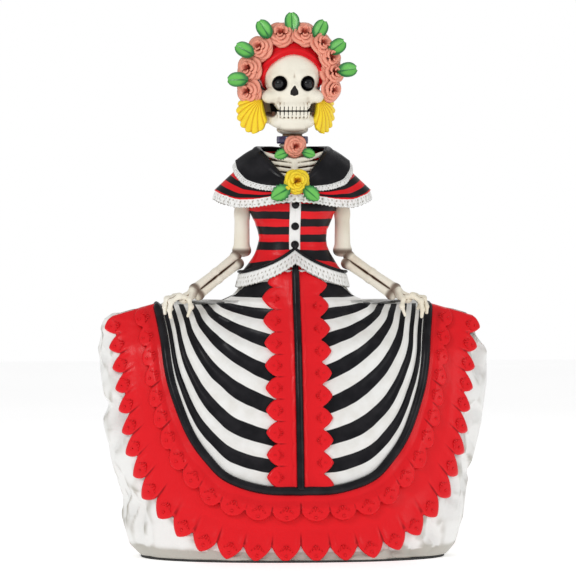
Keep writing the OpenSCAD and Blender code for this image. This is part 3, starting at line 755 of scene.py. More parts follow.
def placket(side):
    rows, columns = strip_petals * 16 + 1, 18
    t = np.linspace(0, 1, rows)[:, None] + np.zeros((1, columns))
    q = np.linspace(0, 1, columns)[None] + np.zeros((rows, 1))
    shift = 0.35 if side > 0 else 0
    across = 2 * ((t * strip_petals + shift) % 1) - 1
    tip = (1 - np.abs(across) ** 1.3) ** 0.7
    reach = 12.4 + 6.2 * tip
    top = 1 - 0.62 * ease((t - 0.9) / 0.1)
    x = side * (1.9 + (reach * top - 1.9) * q)
    z = strip_low + (strip_high - strip_low) * t
    roll = np.sqrt(np.clip(1 - ((q - 0.93) / 0.07).clip(0, 1) ** 2, 0, 1))
    swell = np.sqrt(np.clip(tip, 0, 1)) * ease((q - 0.3) / 0.5) * 0.9
    lift = 1.9 + swell - 0.8 * (1 - roll) + 0.5 * ease((0.16 - q) / 0.1)
    name = "placket_lace_left" if side > 0 else "placket_lace_right"
    y = -(front_depth(x, z) + lift * (1 - 0.5 * ease((t - 0.93) / 0.07)))
    top_grid = np.stack([x, y, z], -1)
    low_grid = np.stack([x, y + 1.8, z], -1)
    piece = outward_piece(name + "_painted", *slab(top_grid, low_grid), enamel_red.material, [name],
                          "red_enamel")
    hollows(piece, 6, 0.4)
    spots = []
    for k in range(strip_petals - 1):
        height = (k + 0.5 - shift + (shift > 0)) / strip_petals
        if height > 0.86:
            continue
        spot_z = strip_low + (strip_high - strip_low) * height
        spot_x = side * 11.6
        out = np.array([side * 1.0, 0, 0])
        step = (depth(spot_x + side, spot_z) - depth(spot_x - side, spot_z)) / 2
        out[1] = -step
        rise = -(depth(spot_x, spot_z + 1) - depth(spot_x, spot_z - 1)) / 2
        face = np.cross(out, np.array([0, rise, 1.0]))
        face *= -1 if face[1] > 0 else 1
        here = (spot_x, -(depth(spot_x, spot_z) + 2.75), spot_z)
        spots.append((here, turn_to(out, face), 0.9))
    return spots


strip_marks = placket(1) + placket(-1)
lay("pressed_marks_placket", pressed_mark, strip_marks, enamel_red.material, (), "red_enamel")
put_away(pressed_mark)

z = np.linspace(strip_low - 1, strip_high + 0.5, 90)
thin = 1 - 0.45 * ease((z - waist_z - 2) / 5)
path = np.stack([0 * z, -(front_depth(0 * z, z) + 2.6 * thin), z], -1)
roll_piece("placket_cord_painted", path, 2.1 * thin, enamel_black.material, ["placket_cord"],
           "black_enamel", squash=(1.0, 0.8))


# ---------------------------------------------------------------- bodice
# A close-fitting shell of paper over the post's waist disc, with a pointed hem in front. Red enamel
# with black bands; the bands of the two halves are set off by half a band where they meet.
bodice_sizes = [(0, 30.5, 19.5), (7, 24.8, 16.8), (14, 20.6, 14.4), (20, 18.9, 13.4), (25, 19.4, 13.8),
                (31, 21.8, 15.8), (37, 24.5, 17.7), (43, 25.4, 17.6), (49, 24.2, 14.5)]
hem_point = 13.5
band_pitch = 8.6
bodice_rows, bodice_columns = 90, 240


def bodice_ring(z):
    """Half the bodice's width and half its depth at a height."""
    sizes = np.array(bodice_sizes)
    return [np.interp(z, sizes[:, 0] + waist_z, sizes[:, k]) for k in (1, 2)]


def round_off(values, passes=6):
    """Softens the corners of a row of values that was read off a few sizes."""
    for _ in range(passes):
        values[1:-1] = (values[:-2] + 2 * values[1:-1] + values[2:]) / 4
    return values


def hem_height(angle):
    """The bodice's lower edge, which runs down to the sides from a point in front."""
    return waist_z + 1 + hem_point * np.where(np.sin(angle) > 0, (1 - np.abs(np.cos(angle))) ** 1.3, 0)


def bust(x, z):
    """How far the chest stands out in front of the plain bodice, with a dent in the middle."""
    height = z - waist_z - 38
    swell = np.exp(-((np.abs(x) - 10.5) / 7.5) ** 2 - (height / 8) ** 2)
    return 2.6 * swell - 0.9 * np.exp(-(x / 3.5) ** 2 - (height / 9) ** 2)


bodice_round = np.linspace(0, 2 * math.pi, bodice_columns, endpoint=False)
fine_z = np.linspace(waist_z, waist_z + 49, 200)
fine_w, fine_d = (round_off(v, 40) for v in bodice_ring(fine_z))
rise = np.linspace(0, 1, bodice_rows)[:, None]
front = np.clip(np.sin(bodice_round), 0, 1)[None]
hem_z = hem_height(bodice_round)[None]
bz = hem_z + (waist_z + 49 - hem_z) * rise
bw, bd = np.interp(bz, fine_z, fine_w), np.interp(bz, fine_z, fine_d)
bx = bw * np.cos(bodice_round)[None]
by = -bd * np.sin(bodice_round)[None]
by = by - bust(bx, bz) * front
half = np.where(by > 0, 0.5 * ease(0.5 - bx / 24), np.where(bx < 0, 0.5, 0.0)) + 0 * bz
droop = 0.13 * np.abs(bx) * ease((waist_z + 17 - bz) / 10)
stripe = (bz + droop - waist_z - 17.1) / band_pitch + half
groove = 0.22 * np.abs(np.cos(math.pi * stripe)) ** 8
bodice_grid = np.stack([bx, by, bz], -1)
bodice_grid = bodice_grid + normals_of(bodice_grid, around=True) * groove[..., None]

banded = Paint("banded_enamel", roughness=0.28, coat=0.05, specular=0.12)
ragged = (banded.noise(120.0, 3.0) - 0.5) * 0.12
black_band = ((banded.on_mesh("stripe") + ragged).fraction() - 0.5).size().rise(0.27, 0.235)
# Painted shade darkens the red in creases and grooves, mixed with a little random tone.
deep = (banded.on_mesh("hollow") * 0.8 + banded.noise(80.0, 3.0) * 0.3 - 0.12).rise(0.05, 0.8)
shaded_band_red = banded.blend(deep, (0.77, 0.012, 0.018), (0.36, 0.004, 0.008))
banded.finish(banded.blend(black_band, shaded_band_red, (0.01, 0.009, 0.011)),
              banded.noise(300.0, 4.0, 0.6) + black_band * 0.6, 0.14)
bodice = closed_rings("bodice_painted", bodice_grid, banded.material, ["bodice"], "banded_enamel")
mark(bodice, "stripe", np.concatenate([stripe.ravel(), [0, 0]]))
hollows(bodice, 6, 0.5)


def torus_sheet(name, top, under, paint, node_names, slot, marks=None):
    """A band that closes round the figure: rings of its outer face, then of its inner face."""
    grid = np.concatenate([top, under[::-1]])
    rows, columns = grid.shape[:2]
    faces = grid_faces(rows, columns, around=True)
    start = (rows - 1) * columns
    faces += [(start + j, start + (j + 1) % columns, (j + 1) % columns, j) for j in range(columns)]
    both = {key: np.concatenate([v, v[::-1]]).ravel() for key, v in (marks or {}).items()}
    return outward_piece(name, grid.reshape(-1, 3), faces, paint, node_names, slot, both)


def lace(name, upper, lower, ripples, depth_mm, node_name, thick=0.9, rows=12):
    """A gathered strip of lace between two rings, with rows of pressed eyelets and a wavy hem."""
    columns = upper.shape[0]
    v = np.linspace(0, 1, rows)[:, None]
    count = np.arange(columns)[None] / columns * ripples
    grid = upper[None] * (1 - v[..., None]) + lower[None] * v[..., None]
    out = normals_of(grid, around=True)
    out *= np.where((out * grid * (1, 1, 0)).sum(-1).mean() < 0, -1, 1)
    wave = np.sin(2 * math.pi * count) + 0.35 * np.sin(2 * math.pi * count * 2.37 + 1)
    eyelet = np.zeros_like(v + count)
    for row, shift in ((0.34, 0.0), (0.68, 0.5)):
        near = (((count * 1.5 + shift) % 1 - 0.5) / 0.24) ** 2 + ((v - row) / 0.085) ** 2
        eyelet += np.exp(-near)
    lift = depth_mm * wave * v ** 0.8 - 0.5 * eyelet
    grid = grid + out * lift[..., None]
    grid[..., 2] += 0.35 * np.cos(4 * math.pi * count) * v
    edge = np.sqrt(np.clip(1 - (2 * v - 1) ** 8, 0, 1)) * (1 - 0.25 * (v > 0.99))
    half_wall = out * (thick / 2 * edge)[..., None]
    piece = torus_sheet(name, grid + half_wall, grid - half_wall, lace_paint.material, [node_name],
                        "white_paint")
    hollows(piece, 5, 0.28)
    return piece


lace_paint = Paint("white_lace", roughness=0.4, coat=0.2)
# Painted shade darkens the white in the folds and pressed eyelets, mixed with a little random tone.
lace_crease_shade = (lace_paint.on_mesh("hollow") + lace_paint.noise(150.0, 3.0) * 0.25 - 0.1).rise(0.1, 0.8)
lace_paint.finish(lace_paint.blend(lace_crease_shade, (0.87, 0.87, 0.85), (0.40, 0.37, 0.32)),
                  lace_paint.noise(500.0, 3.0), 0.12)

lace_round = np.linspace(0, 2 * math.pi, 600, endpoint=False)
hem_z = hem_height(lace_round)
hem_w, hem_d = np.interp(hem_z, fine_z, fine_w), np.interp(hem_z, fine_z, fine_d)
lace_cos, lace_sin = np.cos(lace_round), np.sin(lace_round)
top_ring = np.stack([(hem_w + 0.3) * lace_cos, -(hem_d + 0.5) * lace_sin, hem_z + 0.5], -1)
low_x = (hem_w + 1.8) * lace_cos
low_z = hem_z - 7.2
resting = depth(low_x, np.minimum(low_z, waist_z)) + 3.4
low_y = np.maximum(resting, (hem_d + 2.0) * np.abs(lace_sin)) * np.abs(lace_sin) ** 0.15
low_ring = np.stack([low_x, -np.sign(lace_sin.round(6)) * low_y, low_z], -1)
lace("peplum_lace_painted", top_ring, low_ring, 52, 0.3, "peplum_lace")
trim_path = np.vstack([top_ring, top_ring[:1]]) * (1.01, 1.01, 1) + (0, 0, 0.9)
roll_piece("peplum_trim", trim_path, 0.85, enamel_black.material, (), "black_enamel", around=8,
           facing=np.array([0.0, 0.05, 1.0]))

rows, columns = 70, 9
v = np.linspace(0, 1, rows)[:, None] + np.zeros((1, columns))
u = np.linspace(-1, 1, columns)[None] + np.zeros((rows, 1))
fz = waist_z + hem_point + 1.6 + (47 - hem_point - 1.6) * v
fx = 3.1 * u
fw, fd = np.interp(fz, fine_z, fine_w), np.interp(fz, fine_z, fine_d)
fy = -fd * np.sqrt(1 - (fx / fw) ** 2) - bust(fx, fz)
lift = 1.2 - 0.6 * np.abs(u) ** 6
points, faces = slab(np.stack([fx, fy - lift, fz], -1), np.stack([fx, fy + 0.8, fz], -1))
button_strip = outward_piece("button_band_painted", points, faces, lace_paint.material, ["button_band"],
                             "white_paint")
hollows(button_strip, 3, 0.4)


# ---------------------------------------------------------------- buttons
# Three round beads of black paper pulp, varnished to a shine. Each is pressed into the white band
# while its enamel is wet.
def lathe(profile, around=24):
    """A turned shape about +Z from pairs of radius and height, closed at both ends."""
    profile = np.asarray(profile, dtype=float)
    u = np.linspace(0, 2 * math.pi, around, endpoint=False)
    rings = np.stack([profile[:, :1] * np.cos(u), profile[:, :1] * np.sin(u), profile[:, 1:] + 0 * u], -1)
    points = np.vstack([rings.reshape(-1, 3), [[0, 0, profile[0, 1]], [0, 0, profile[-1, 1]]]])
    return points, capped_faces(len(profile), around)


arc = np.linspace(0, math.pi / 2, 9)
dome = [(2.4 * math.cos(a), 2.1 * math.sin(a)) for a in arc[1:-1]]
bead = pattern("button_bead", *lathe([(2.4, -0.8), (2.45, 0)] + dome + [(0.15, 2.1)]))
button_spots = []
for rise_z in (17.8, 28.2, 40.2):
    spot_z = waist_z + rise_z
    y = -np.interp(spot_z, fine_z, fine_d) - 1.1 - bust(0, spot_z)
    button_spots.append(((0.1, y, spot_z), Euler((math.pi / 2, 0, 0)), 0.95))
lay("buttons_painted", bead, button_spots, enamel_black.material, ["buttons"], "black_enamel")
put_away(bead)


# ---------------------------------------------------------------- cape and collar
# A cape of paper over the shoulders, banded red and black, with a black collar laid on it. Both
# have a strip of white lace glued under the edge.
def ring_of(stops, columns=480):
    """A ring symmetric in x from stops of (degrees from the side, x, y, z); 90 is the front."""
    stops = np.asarray(stops, dtype=float)
    angle = np.degrees(np.linspace(0, 2 * math.pi, columns, endpoint=False))
    angle = (angle + 90) % 360 - 90
    folded = np.where(angle > 90, 180 - angle, angle)
    ring = np.stack([np.interp(folded, stops[:, 0], stops[:, k]) for k in (1, 2, 3)], -1)
    ring[:, 0] *= np.where(angle > 90, -1, 1)
    for _ in range(60):
        ring = (np.roll(ring, 1, 0) + 2 * ring + np.roll(ring, -1, 0)) / 4
    return ring


neck_ring = ring_of([(-90, 0, 12, 228), (-60, 9, 11, 228.5), (-30, 15.5, 7, 228), (0, 18.2, 0, 227.6),
                     (22, 16.2, -7, 224.8), (45, 11.5, -13, 218.5), (65, 7.2, -17, 212.5),
                     (80, 3.6, -19, 208.5), (90, 0, -19.4, 207.5)])
collar_ring = ring_of([(-90, 0, 18.5, 211), (-60, 16, 16.5, 212.5), (-30, 28, 9.5, 217),
                       (0, 31.4, 0.5, 221), (22, 31, -6.5, 216), (45, 27, -13.8, 210.6),
                       (62, 19.5, -19, 208), (78, 10, -22.2, 207), (90, 0, -23.2, 206.8)])
cape_ring = ring_of([(-90, 0, 21.5, 200.5), (-60, 22, 19.5, 200.2), (-30, 38, 11.5, 201.5),
                     (0, 44, 0, 205), (22, 41, -9.5, 203), (42, 32.5, -17.8, 200),
                     (60, 23, -21.6, 200.3), (78, 11, -23.8, 202.4), (90, 0, -24.2, 203.6)])


def drape(upper, lower, rows, bulge):
    """A grid that bulges from one ring to the next, its outward normals and how far down it each row is."""
    v = np.linspace(0, 1, rows)[:, None, None]
    grid = upper[None] * (1 - v) + lower[None] * v
    grid[..., 2] += bulge * np.sin(math.pi * v[..., 0] ** 0.8)
    out = normals_of(grid, around=True)
    return grid, out * (-1 if (out * grid * (1, 1, 0)).sum(-1).mean() < 0 else 1), v[..., 0]


cape_grid, cape_out, v = drape(neck_ring - np.array([0, 0, 2.0]), cape_ring, 44, 1.6)
fold_wave = 0.5 * np.sin(np.linspace(0, 2 * math.pi, 480, endpoint=False) * 9)[None] * v
cape_grid = cape_grid + cape_out * fold_wave[..., None]
cape = torus_sheet("cape_painted", cape_grid + cape_out * 0.7, cape_grid - cape_out * 0.7, banded.material,
                   ["cape"], "banded_enamel", marks={"stripe": (v - 0.49) * 4.6 + 0.5 + 0 * fold_wave})
hollows(cape, 6, 0.5)
collar_grid, collar_out, v = drape(neck_ring, collar_ring, 30, 1.2)
collar_roll = np.sin(math.pi * np.clip(v * 3.2, 0, 1)) * 0.8
collar_grid = collar_grid + collar_out * (0.9 + collar_roll)[..., None]
torus_sheet("collar_painted", collar_grid + collar_out * 0.8, collar_grid - collar_out * 0.9,
            enamel_black.material,
                     ["collar"], "black_enamel")
lace("collar_lace_painted", collar_ring + np.array([0, 0, 1.0]),
     collar_ring * (1.07, 1.06, 1) + np.array([0, 0, -2.4]), 70, 0.3, "collar_lace", 1.3, 9)
lace("cape_lace_painted", cape_ring * (0.99, 0.98, 1) + np.array([0, 0, 0.6]),
     cape_ring * (1.018, 1.03, 1) + np.array([0, 0, -4.6]), 58, 0.5, "cape_lace", 1.0, 11)


# ---------------------------------------------------------------- bones
# Paper pulp modelled over wire: cream paint, a brown wash left in the hollows, satin varnish.
# Each is worked out as a solid of blended rounds and skinned with a fine net.
def skin_net(field, low, high, step):
    """Points and faces of the surface where field(points) crosses 0; field is negative inside."""
    low, high = np.asarray(low, float) - 2 * step, np.asarray(high, float) + 2 * step
    counts = np.ceil((high - low) / step).astype(int) + 1
    axes = [low[k] + step * np.arange(counts[k]) for k in range(3)]
    values = field(np.stack(np.meshgrid(*axes, indexing="ij"), -1))
    values = np.where(values == 0, 1e-6, values)
    for k in range(3):
        for end in (0, -1):
            face = np.moveaxis(values, k, 0)
            face[end] = np.maximum(face[end], step * 0.2)
    cells = counts - 1
    total = np.zeros((*cells, 3))
    hits = np.zeros(cells)
    crossings = []
    for axis in range(3):
        near = [slice(None)] * 3
        far = [slice(None)] * 3
        near[axis], far[axis] = slice(0, -1), slice(1, None)
        a, b = values[tuple(near)], values[tuple(far)]
        where = np.argwhere((a < 0) != (b < 0))
        pick = tuple(where.T)
        spot = where.astype(float)
        spot[:, axis] += a[pick] / (a[pick] - b[pick])
        crossings.append((where, a[pick] < 0))
        others = [k for k in range(3) if k != axis]
        for du in (0, -1):
            for dv in (0, -1):
                cell = where.copy()
                cell[:, others[0]] += du
                cell[:, others[1]] += dv
                inside = ((cell >= 0) & (cell < cells)).all(1)
                at = tuple(cell[inside].T)
                np.add.at(total, at, spot[inside])
                np.add.at(hits, at, 1)
    used = hits > 0
    number = np.full(cells, -1)
    number[used] = np.arange(used.sum())
    points = total[used] / hits[used][:, None] * step + low
    faces = []
    for axis, (where, starts_inside) in enumerate(crossings):
        others = [k for k in range(3) if k != axis]
        corner = []
        for du, dv in ((0, 0), (-1, 0), (-1, -1), (0, -1)):
            cell = where.copy()
            cell[:, others[0]] += du
            cell[:, others[1]] += dv
            corner.append(number[tuple(cell.T)])
        quad = np.stack(corner, -1)
        turned = starts_inside if axis != 1 else ~starts_inside
        quad = np.where(turned[:, None], quad, quad[:, ::-1])
        faces.append(quad)
    return points, np.vstack(faces)


def ball(p, centre, radii):
    q = (p - np.asarray(centre, float)) / np.asarray(radii, float)
    length = np.sqrt((q * q).sum(-1))
    return (length - 1) * np.min(np.broadcast_to(radii, 3)) * np.clip(length, 0.6, 1.6) ** 0.5


def rod(p, a, b, ra, rb=None):
    """A round rod from a to b whose radius goes from ra to rb."""
    a, b = np.asarray(a, float), np.asarray(b, float)
    rb = ra if rb is None else rb
    t = np.clip(((p - a) @ (b - a)) / ((b - a) @ (b - a)), 0, 1)
    return np.sqrt(((p - a - t[..., None] * (b - a)) ** 2).sum(-1)) - (ra + (rb - ra) * t)


def weld(first, second, soft):
    """Union of two solids with a fillet about as wide as soft."""
    h = np.clip(0.5 + 0.5 * (second - first) / soft, 0, 1)
    return second + (first - second) * h - soft * h * (1 - h)


def carve(first, second, soft):
    """First solid with the second cut out of it."""
    return -weld(-first, second, soft)


def bone_piece(name, field, low, high, step, paint, node_names, slot, passes=10, deep=0.5, marks=None,
               turned=None):
    points, faces = skin_net(field, low, high, step)
    extra = marks(points) if marks else {}
    if turned is not None:
        points = points @ turned[0].T + turned[1]
    piece = outward_piece(name, points, faces, paint, node_names, slot, extra)
    hollows(piece, passes, deep)
    return piece


bone = Paint("antiqued_bone", roughness=0.42, specular=0.25)
wash = bone.on_mesh("hollow") * 1.5 + bone.noise(45.0, 4.0) * 0.3 - 0.16
# This mark darkens the bone: brown stain at the bone ends, and painted shade between the forearm bones and
# in the cheek hollows.
stain_and_shade = bone.on_mesh("stain_and_shade")
cream = bone.blend(bone.noise(30.0, 3.0).rise(0.3, 0.75), (0.88, 0.84, 0.73), (0.80, 0.73, 0.58))
washed = bone.blend(wash.rise(0.06, 0.7), cream, (0.20, 0.09, 0.03))
stained_and_shaded = bone.blend(stain_and_shade.rise(0.1, 0.95), washed, (0.085, 0.032, 0.012))
bone.finish(bone.blend(bone.on_mesh("ink").rise(0.35, 0.65), stained_and_shaded, (0.012, 0.009, 0.008)),
            bone.noise(380.0, 4.0, 0.6), 0.16)

shoulder = np.array([28.0, 1.5, 213.0])
elbow = np.array([28.4, 2.0, 170.5])
forearm = np.array([30.5, 0.5, 166.5])
wrist = np.array([55.2, -17.5, 148.6])
palm = np.array([62.5, -21.5, 145.0])
bone_gap = 2.15
beside = np.cross(wrist - forearm, [0, 1, 0])
beside = beside / np.linalg.norm(beside)
step_out = bone_gap * beside
finger_tips = [(70.2, -24.6, 134.8), (73.2, -22.8, 137.0), (72.8, -19.6, 138.6), (69.0, -16.2, 139.0)]


def upper_arm(p):
    middle = (shoulder + elbow) / 2
    shaft = rod(p, shoulder, middle, 4.7, 4.1)
    shaft = weld(shaft, rod(p, middle, elbow + (0, 0, 2), 4.1, 4.5), 2)
    return weld(shaft, rod(p, elbow + (-2.4, 0, 0.5), elbow + (2.4, 0, 0.5), 2.9), 1.8)


def long_bone(start, end, thick, knob):
    middle = (start + end) / 2

    def field(p):
        shaft = weld(rod(p, start, middle, thick * 1.05, thick * 0.85),
                     rod(p, middle, end, thick * 0.85, thick * 1.05), 1.5)
        shaft = weld(shaft, ball(p, start, (knob, knob, knob)), 1.6)
        return weld(shaft, ball(p, end, (knob * 0.95,) * 3), 1.4)
    return field


def hand(p):
    solid = weld(rod(p, wrist + (1.2, -0.6, -0.6), palm, 2.7, 2.9),
                 ball(p, wrist + (2.2, -1.4, 0.6), (2.6, 2.6, 2.4)), 1.2)
    for i, tip in enumerate(finger_tips):
        knuckle = palm + np.array([2.7 + 0.8 * i, -2.8 + 2.2 * i, 1.5 - 0.2 * i])
        bend = knuckle * 0.55 + np.array(tip) * 0.45 + np.array([2.4, 0, 2.2])
        last = bend * 0.42 + np.array(tip) * 0.58 + np.array([0.7, 0, 0.3])
        start = palm + np.array([-1.5, -2.2 + 1.4 * i, 0.4])
        finger = weld(rod(p, start, knuckle, 1.35, 1.4), ball(p, knuckle, (2.05,) * 3), 0.8)
        finger = weld(finger, rod(p, knuckle, bend, 1.4, 1.35), 0.5)
        finger = weld(finger, ball(p, bend, (1.85,) * 3), 0.6)
        finger = weld(finger, rod(p, bend, last, 1.3, 1.2), 0.5)
        finger = weld(finger, ball(p, last, (1.5,) * 3), 0.4)
        finger = weld(finger, rod(p, last, tip, 1.2, 0.95), 0.3)
        solid = weld(solid, finger, 0.3)
    base, joint, tip = palm + (-2.6, -3.6, -0.5), palm + (-3.6, -5.4, -4.4), palm + (-1.8, -5.2, -9.4)
    thumb = weld(rod(p, wrist + (2, -2, 0), base, 1.5),
                 weld(rod(p, base, joint, 1.25, 1.2), ball(p, joint, (1.7,) * 3), 0.7), 0.6)
    return weld(solid, weld(thumb, rod(p, joint, tip, 1.15, 0.8), 0.5), 0.6)


def end_stain(start, end, reach=3.4, beside=None):
    """The wash is thick at a bone's two ends, and the side that faces its neighbour gets painted shade."""
    def marks(points):
        way = (end - start) / np.linalg.norm(end - start)
        along = (points - start) @ way
        far = np.minimum(np.abs(along), np.abs(np.linalg.norm(end - start) - along))
        dark = 0.75 * (1 - ease((far - 0.3) / reach))
        if beside is not None:
            out = points - start - along[:, None] * way
            out /= np.linalg.norm(out, axis=1, keepdims=True) + 1e-6
            dark = np.maximum(dark, ease((out @ beside - 0.35) / 0.6))
        return {"stain_and_shade": dark}
    return marks


ulna = (forearm + step_out, wrist + step_out)
radius = (forearm - step_out + (1.2, -1.0, -0.8), wrist - step_out)
arm_bones = [("humerus", upper_arm, (22, -5, 165), (34, 8, 219), 0.55,
              end_stain(shoulder + (0, 0, 60), elbow)),
             ("ulna", long_bone(*ulna, 2.45, 3.0), np.minimum(*ulna) - 4, np.maximum(*ulna) + 4, 0.4,
              end_stain(*ulna, 4, -beside)),
             ("radius", long_bone(*radius, 2.45, 3.0), np.minimum(*radius) - 4, np.maximum(*radius) + 4,
              0.4, end_stain(*radius, 4, beside)),
             ("hand", hand, (53, -30, 132), (78, -12, 152), 0.3,
              lambda q: {"stain_and_shade": 0.75 * (1 - ease((q[:, 0] - 54) / 6))})]
for word, field, low, high, step, marks in arm_bones:
    for side, flip in (("left", 1), ("right", -1)):
        node = word + "_" + side
        bone_piece(node + "_antiqued", field, low, high, step, bone.material, [node], "bone", marks=marks,
                   deep=0.25, turned=(np.diag([flip, 1.0, 1.0]), np.zeros(3)))


# ---------------------------------------------------------------- chest and neck
# Ribs, breastbone, collar bones and a stack of neck bones show in the neckline of the dress. They
# are modelled in pulp on the chest and round the neck wire. The chest is darker between the bones
# and towards the back, and the neck is darker all over than the arms.
def chest(p):
    core = ball(p, (0, 0.5, 212), (17.0, 11.8, 16.5))
    return weld(core + 0.4, chest_bones(p), 0.35)


def chest_bones(p):
    mirrored = np.stack([np.abs(p[..., 0]), p[..., 1], p[..., 2]], -1)
    bones = rod(p, (0, -13.2, 221), (0, -14.8, 203), 2.0, 1.8)
    for rib_z in (219.2, 216.2, 213.2, 210.2, 207.2):
        points = [(1.5, -13.6, rib_z), (8, -13.2, rib_z + 0.9), (13, -9.8, rib_z + 1.4),
                  (17, -3, rib_z + 0.8)]
        for a, b in zip(points, points[1:]):
            bones = weld(bones, rod(mirrored, a, b, 1.05), 0.4)
    bones = weld(bones, rod(mirrored, (2, -13.2, 222.0), (9.5, -11.6, 223.2), 1.3, 1.15), 0.5)
    return weld(bones, rod(mirrored, (9.5, -11.3, 223.6), (16.6, -4.5, 225.4), 1.2, 1.5), 0.6)


def neck(p):
    solid = rod(p, (0, 0.5, 220), (0, 0.2, 241), 5.6, 5.2)
    for k in range(5):
        z = 222.5 + 3.9 * k
        ring = ball(p, (0, 0.4, z), (7.6, 7.4, 1.9))
        solid = weld(solid, ring, 0.9)
    solid = weld(solid, ball(p, (0, -0.6, 220.5), (11.5, 9.5, 4.5)), 2)
    return weld(solid, ball(p, (0, 0.4, 240.2), (8.8, 7.8, 3.6)), 1.5)


def chest_marks(points):
    between = ease((chest_bones(points) + 0.1) / 0.9)
    return {"stain_and_shade": np.clip(between + 0.2 * ease((12.5 + points[:, 1]) / 6), 0, 1)}


bone_piece("rib_cage_antiqued", chest, (-20, -18, 194), (20, 14, 230), 0.5, bone.material, ["rib_cage"],
           "bone", passes=14, deep=0.55, marks=chest_marks)
bone_piece("neck_bones_antiqued", neck, (-13, -11, 216), (13, 10, 243), 0.5, bone.material, ["neck_bones"],
           "bone", marks=lambda q: {"stain_and_shade": 0.5 + 0 * q[:, 0]})

# A broad ribbon of navy enamel round the neck.
ribbon = Paint("navy_enamel", roughness=0.3, coat=0.4)
ribbon.finish(ribbon.blend(ribbon.noise(200.0, 3.0).rise(0.3, 0.8), (0.018, 0.014, 0.07),
                           (0.05, 0.035, 0.12)),
              ribbon.noise(400.0, 3.0), 0.1)
choker_low, choker_high = mm_box("choker")
choker_r = (choker_high[0] - choker_low[0]) / 2
choker_h = choker_high[2] - choker_low[2]
profile = [(choker_r - 1.1, 0.1), (choker_r - 0.3, 0), (choker_r, 0.4), (choker_r + 0.1, choker_h / 2),
           (choker_r, choker_h - 0.4), (choker_r - 0.3, choker_h), (choker_r - 1.1, choker_h - 0.1)]
points, faces = lathe(profile, 96)
wave = 1 + 0.012 * np.sin(np.arctan2(points[:, 1], points[:, 0]) * 14)
points[:, :2] *= wave[:, None]
points += (0, 0.5, choker_low[2])
outward_piece("choker_painted", points, faces, ribbon.material, ["choker"], "navy_enamel")


# ---------------------------------------------------------------- skull and jaw
# The head is modelled in paper pulp in two pieces, skull and jaw, turned a little to one side.
# Sockets, nose and the lines between the teeth are painted black.
head_z = figure_h - 43
head_turn = math.radians(2)
turned_head = (np.array(Matrix.Rotation(head_turn, 3, "Z")), np.array([-1.0, 0, head_z]))
tooth_pitch = 2.2
mouth_z = -12.6
eye_x, eye_z = 7.9, 2.8


def both_sides(p):
    return np.stack([np.abs(p[..., 0]), p[..., 1], p[..., 2]], -1)


def teeth(p, z, height):
    row = None
    for k in range(6):
        x = tooth_pitch * k
        y = -8.2 - 8.3 * math.sqrt(max(0.02, 1 - (x / 12.2) ** 2))
        tooth = ball(both_sides(p), (x, y + 0.3, z), (1.22, 1.3, height))
        row = tooth if row is None else weld(row, tooth, 0.15)
    return row


def cranium(p):
    return weld(ball(p, (0, 3.5, 12), (17.1, 18.5, 16.6)), ball(p, (0, -4.5, 8.5), (16.3, 12.2, 13)), 4)


def skull(p):
    m = both_sides(p)
    solid = cranium(p)
    solid = weld(solid, ball(p, (0, -6.5, -1), (12.5, 10.8, 9.5)), 4)
    solid = weld(solid, rod(m, (3, -15.2, 7.2), (10.5, -12.6, 6.6), 2.0, 1.6), 3)
    solid = weld(solid, ball(m, (12.6, -9.4, -4.4), (5.0, 4.8, 3.9)), 2.2)
    solid = weld(solid, rod(m, (13.6, -8, -4.2), (16.2, 3, -2), 2.1, 1.6), 2)
    solid = weld(solid, ball(p, (0, -8.6, -9.2), (10.2, 8.2, 4.6)), 2.4)
    solid = weld(solid, rod(p, (0, -15.8, 3.6), (0, -17.2, 1.8), 1.7, 1.5), 2)
    solid = weld(solid, teeth(p, mouth_z + 1.9, 2.6), 0.5)
    solid = carve(solid, ball(m, (12.2, -11.5, -12.2), (4.0, 6.5, 3.6)), 1.2)
    solid = carve(solid, ball(m, (20.9, -6, 4), (4.4, 8.5, 9)), 3)
    solid = carve(solid, ball(m, (eye_x, -16.2, eye_z), (4.15, 6.2, 4.3)), 0.9)
    solid = carve(solid, rod(m, (0.1, -17.6, 0.6), (1.0, -17.2, -2.6), 0.8, 1.15), 0.4)
    return np.maximum(solid, mouth_z - 0.02 - p[..., 2] + 0.12)


def jaw(p):
    m = both_sides(p)
    solid = weld(ball(p, (0, -8.2, -18.6), (10.6, 8.2, 4.9)),
                 rod(m, (8.6, -9.5, -17.8), (13.2, 1.5, -16), 3.6, 3.0), 2.5)
    solid = weld(solid, rod(m, (13.2, 2, -16), (14.2, 5.5, -3), 2.8, 2.2), 2.2)
    solid = weld(solid, rod(m, (0, -13.2, -22.0), (4.4, -12.2, -21.8), 2.6, 2.0), 1.8)
    solid = weld(solid, teeth(p, mouth_z - 1.7, 2.3), 0.5)
    solid = carve(solid, ball(p, (0, 4, -17), (9.5, 12, 7)), 1.5)
    solid = carve(solid, ball(m, (12.0, -14.6, -15.2), (3.0, 3.0, 3.2)), 1.6)
    return np.maximum(solid, np.where(p[..., 1] < 0, p[..., 2] - mouth_z + 0.12, -10))


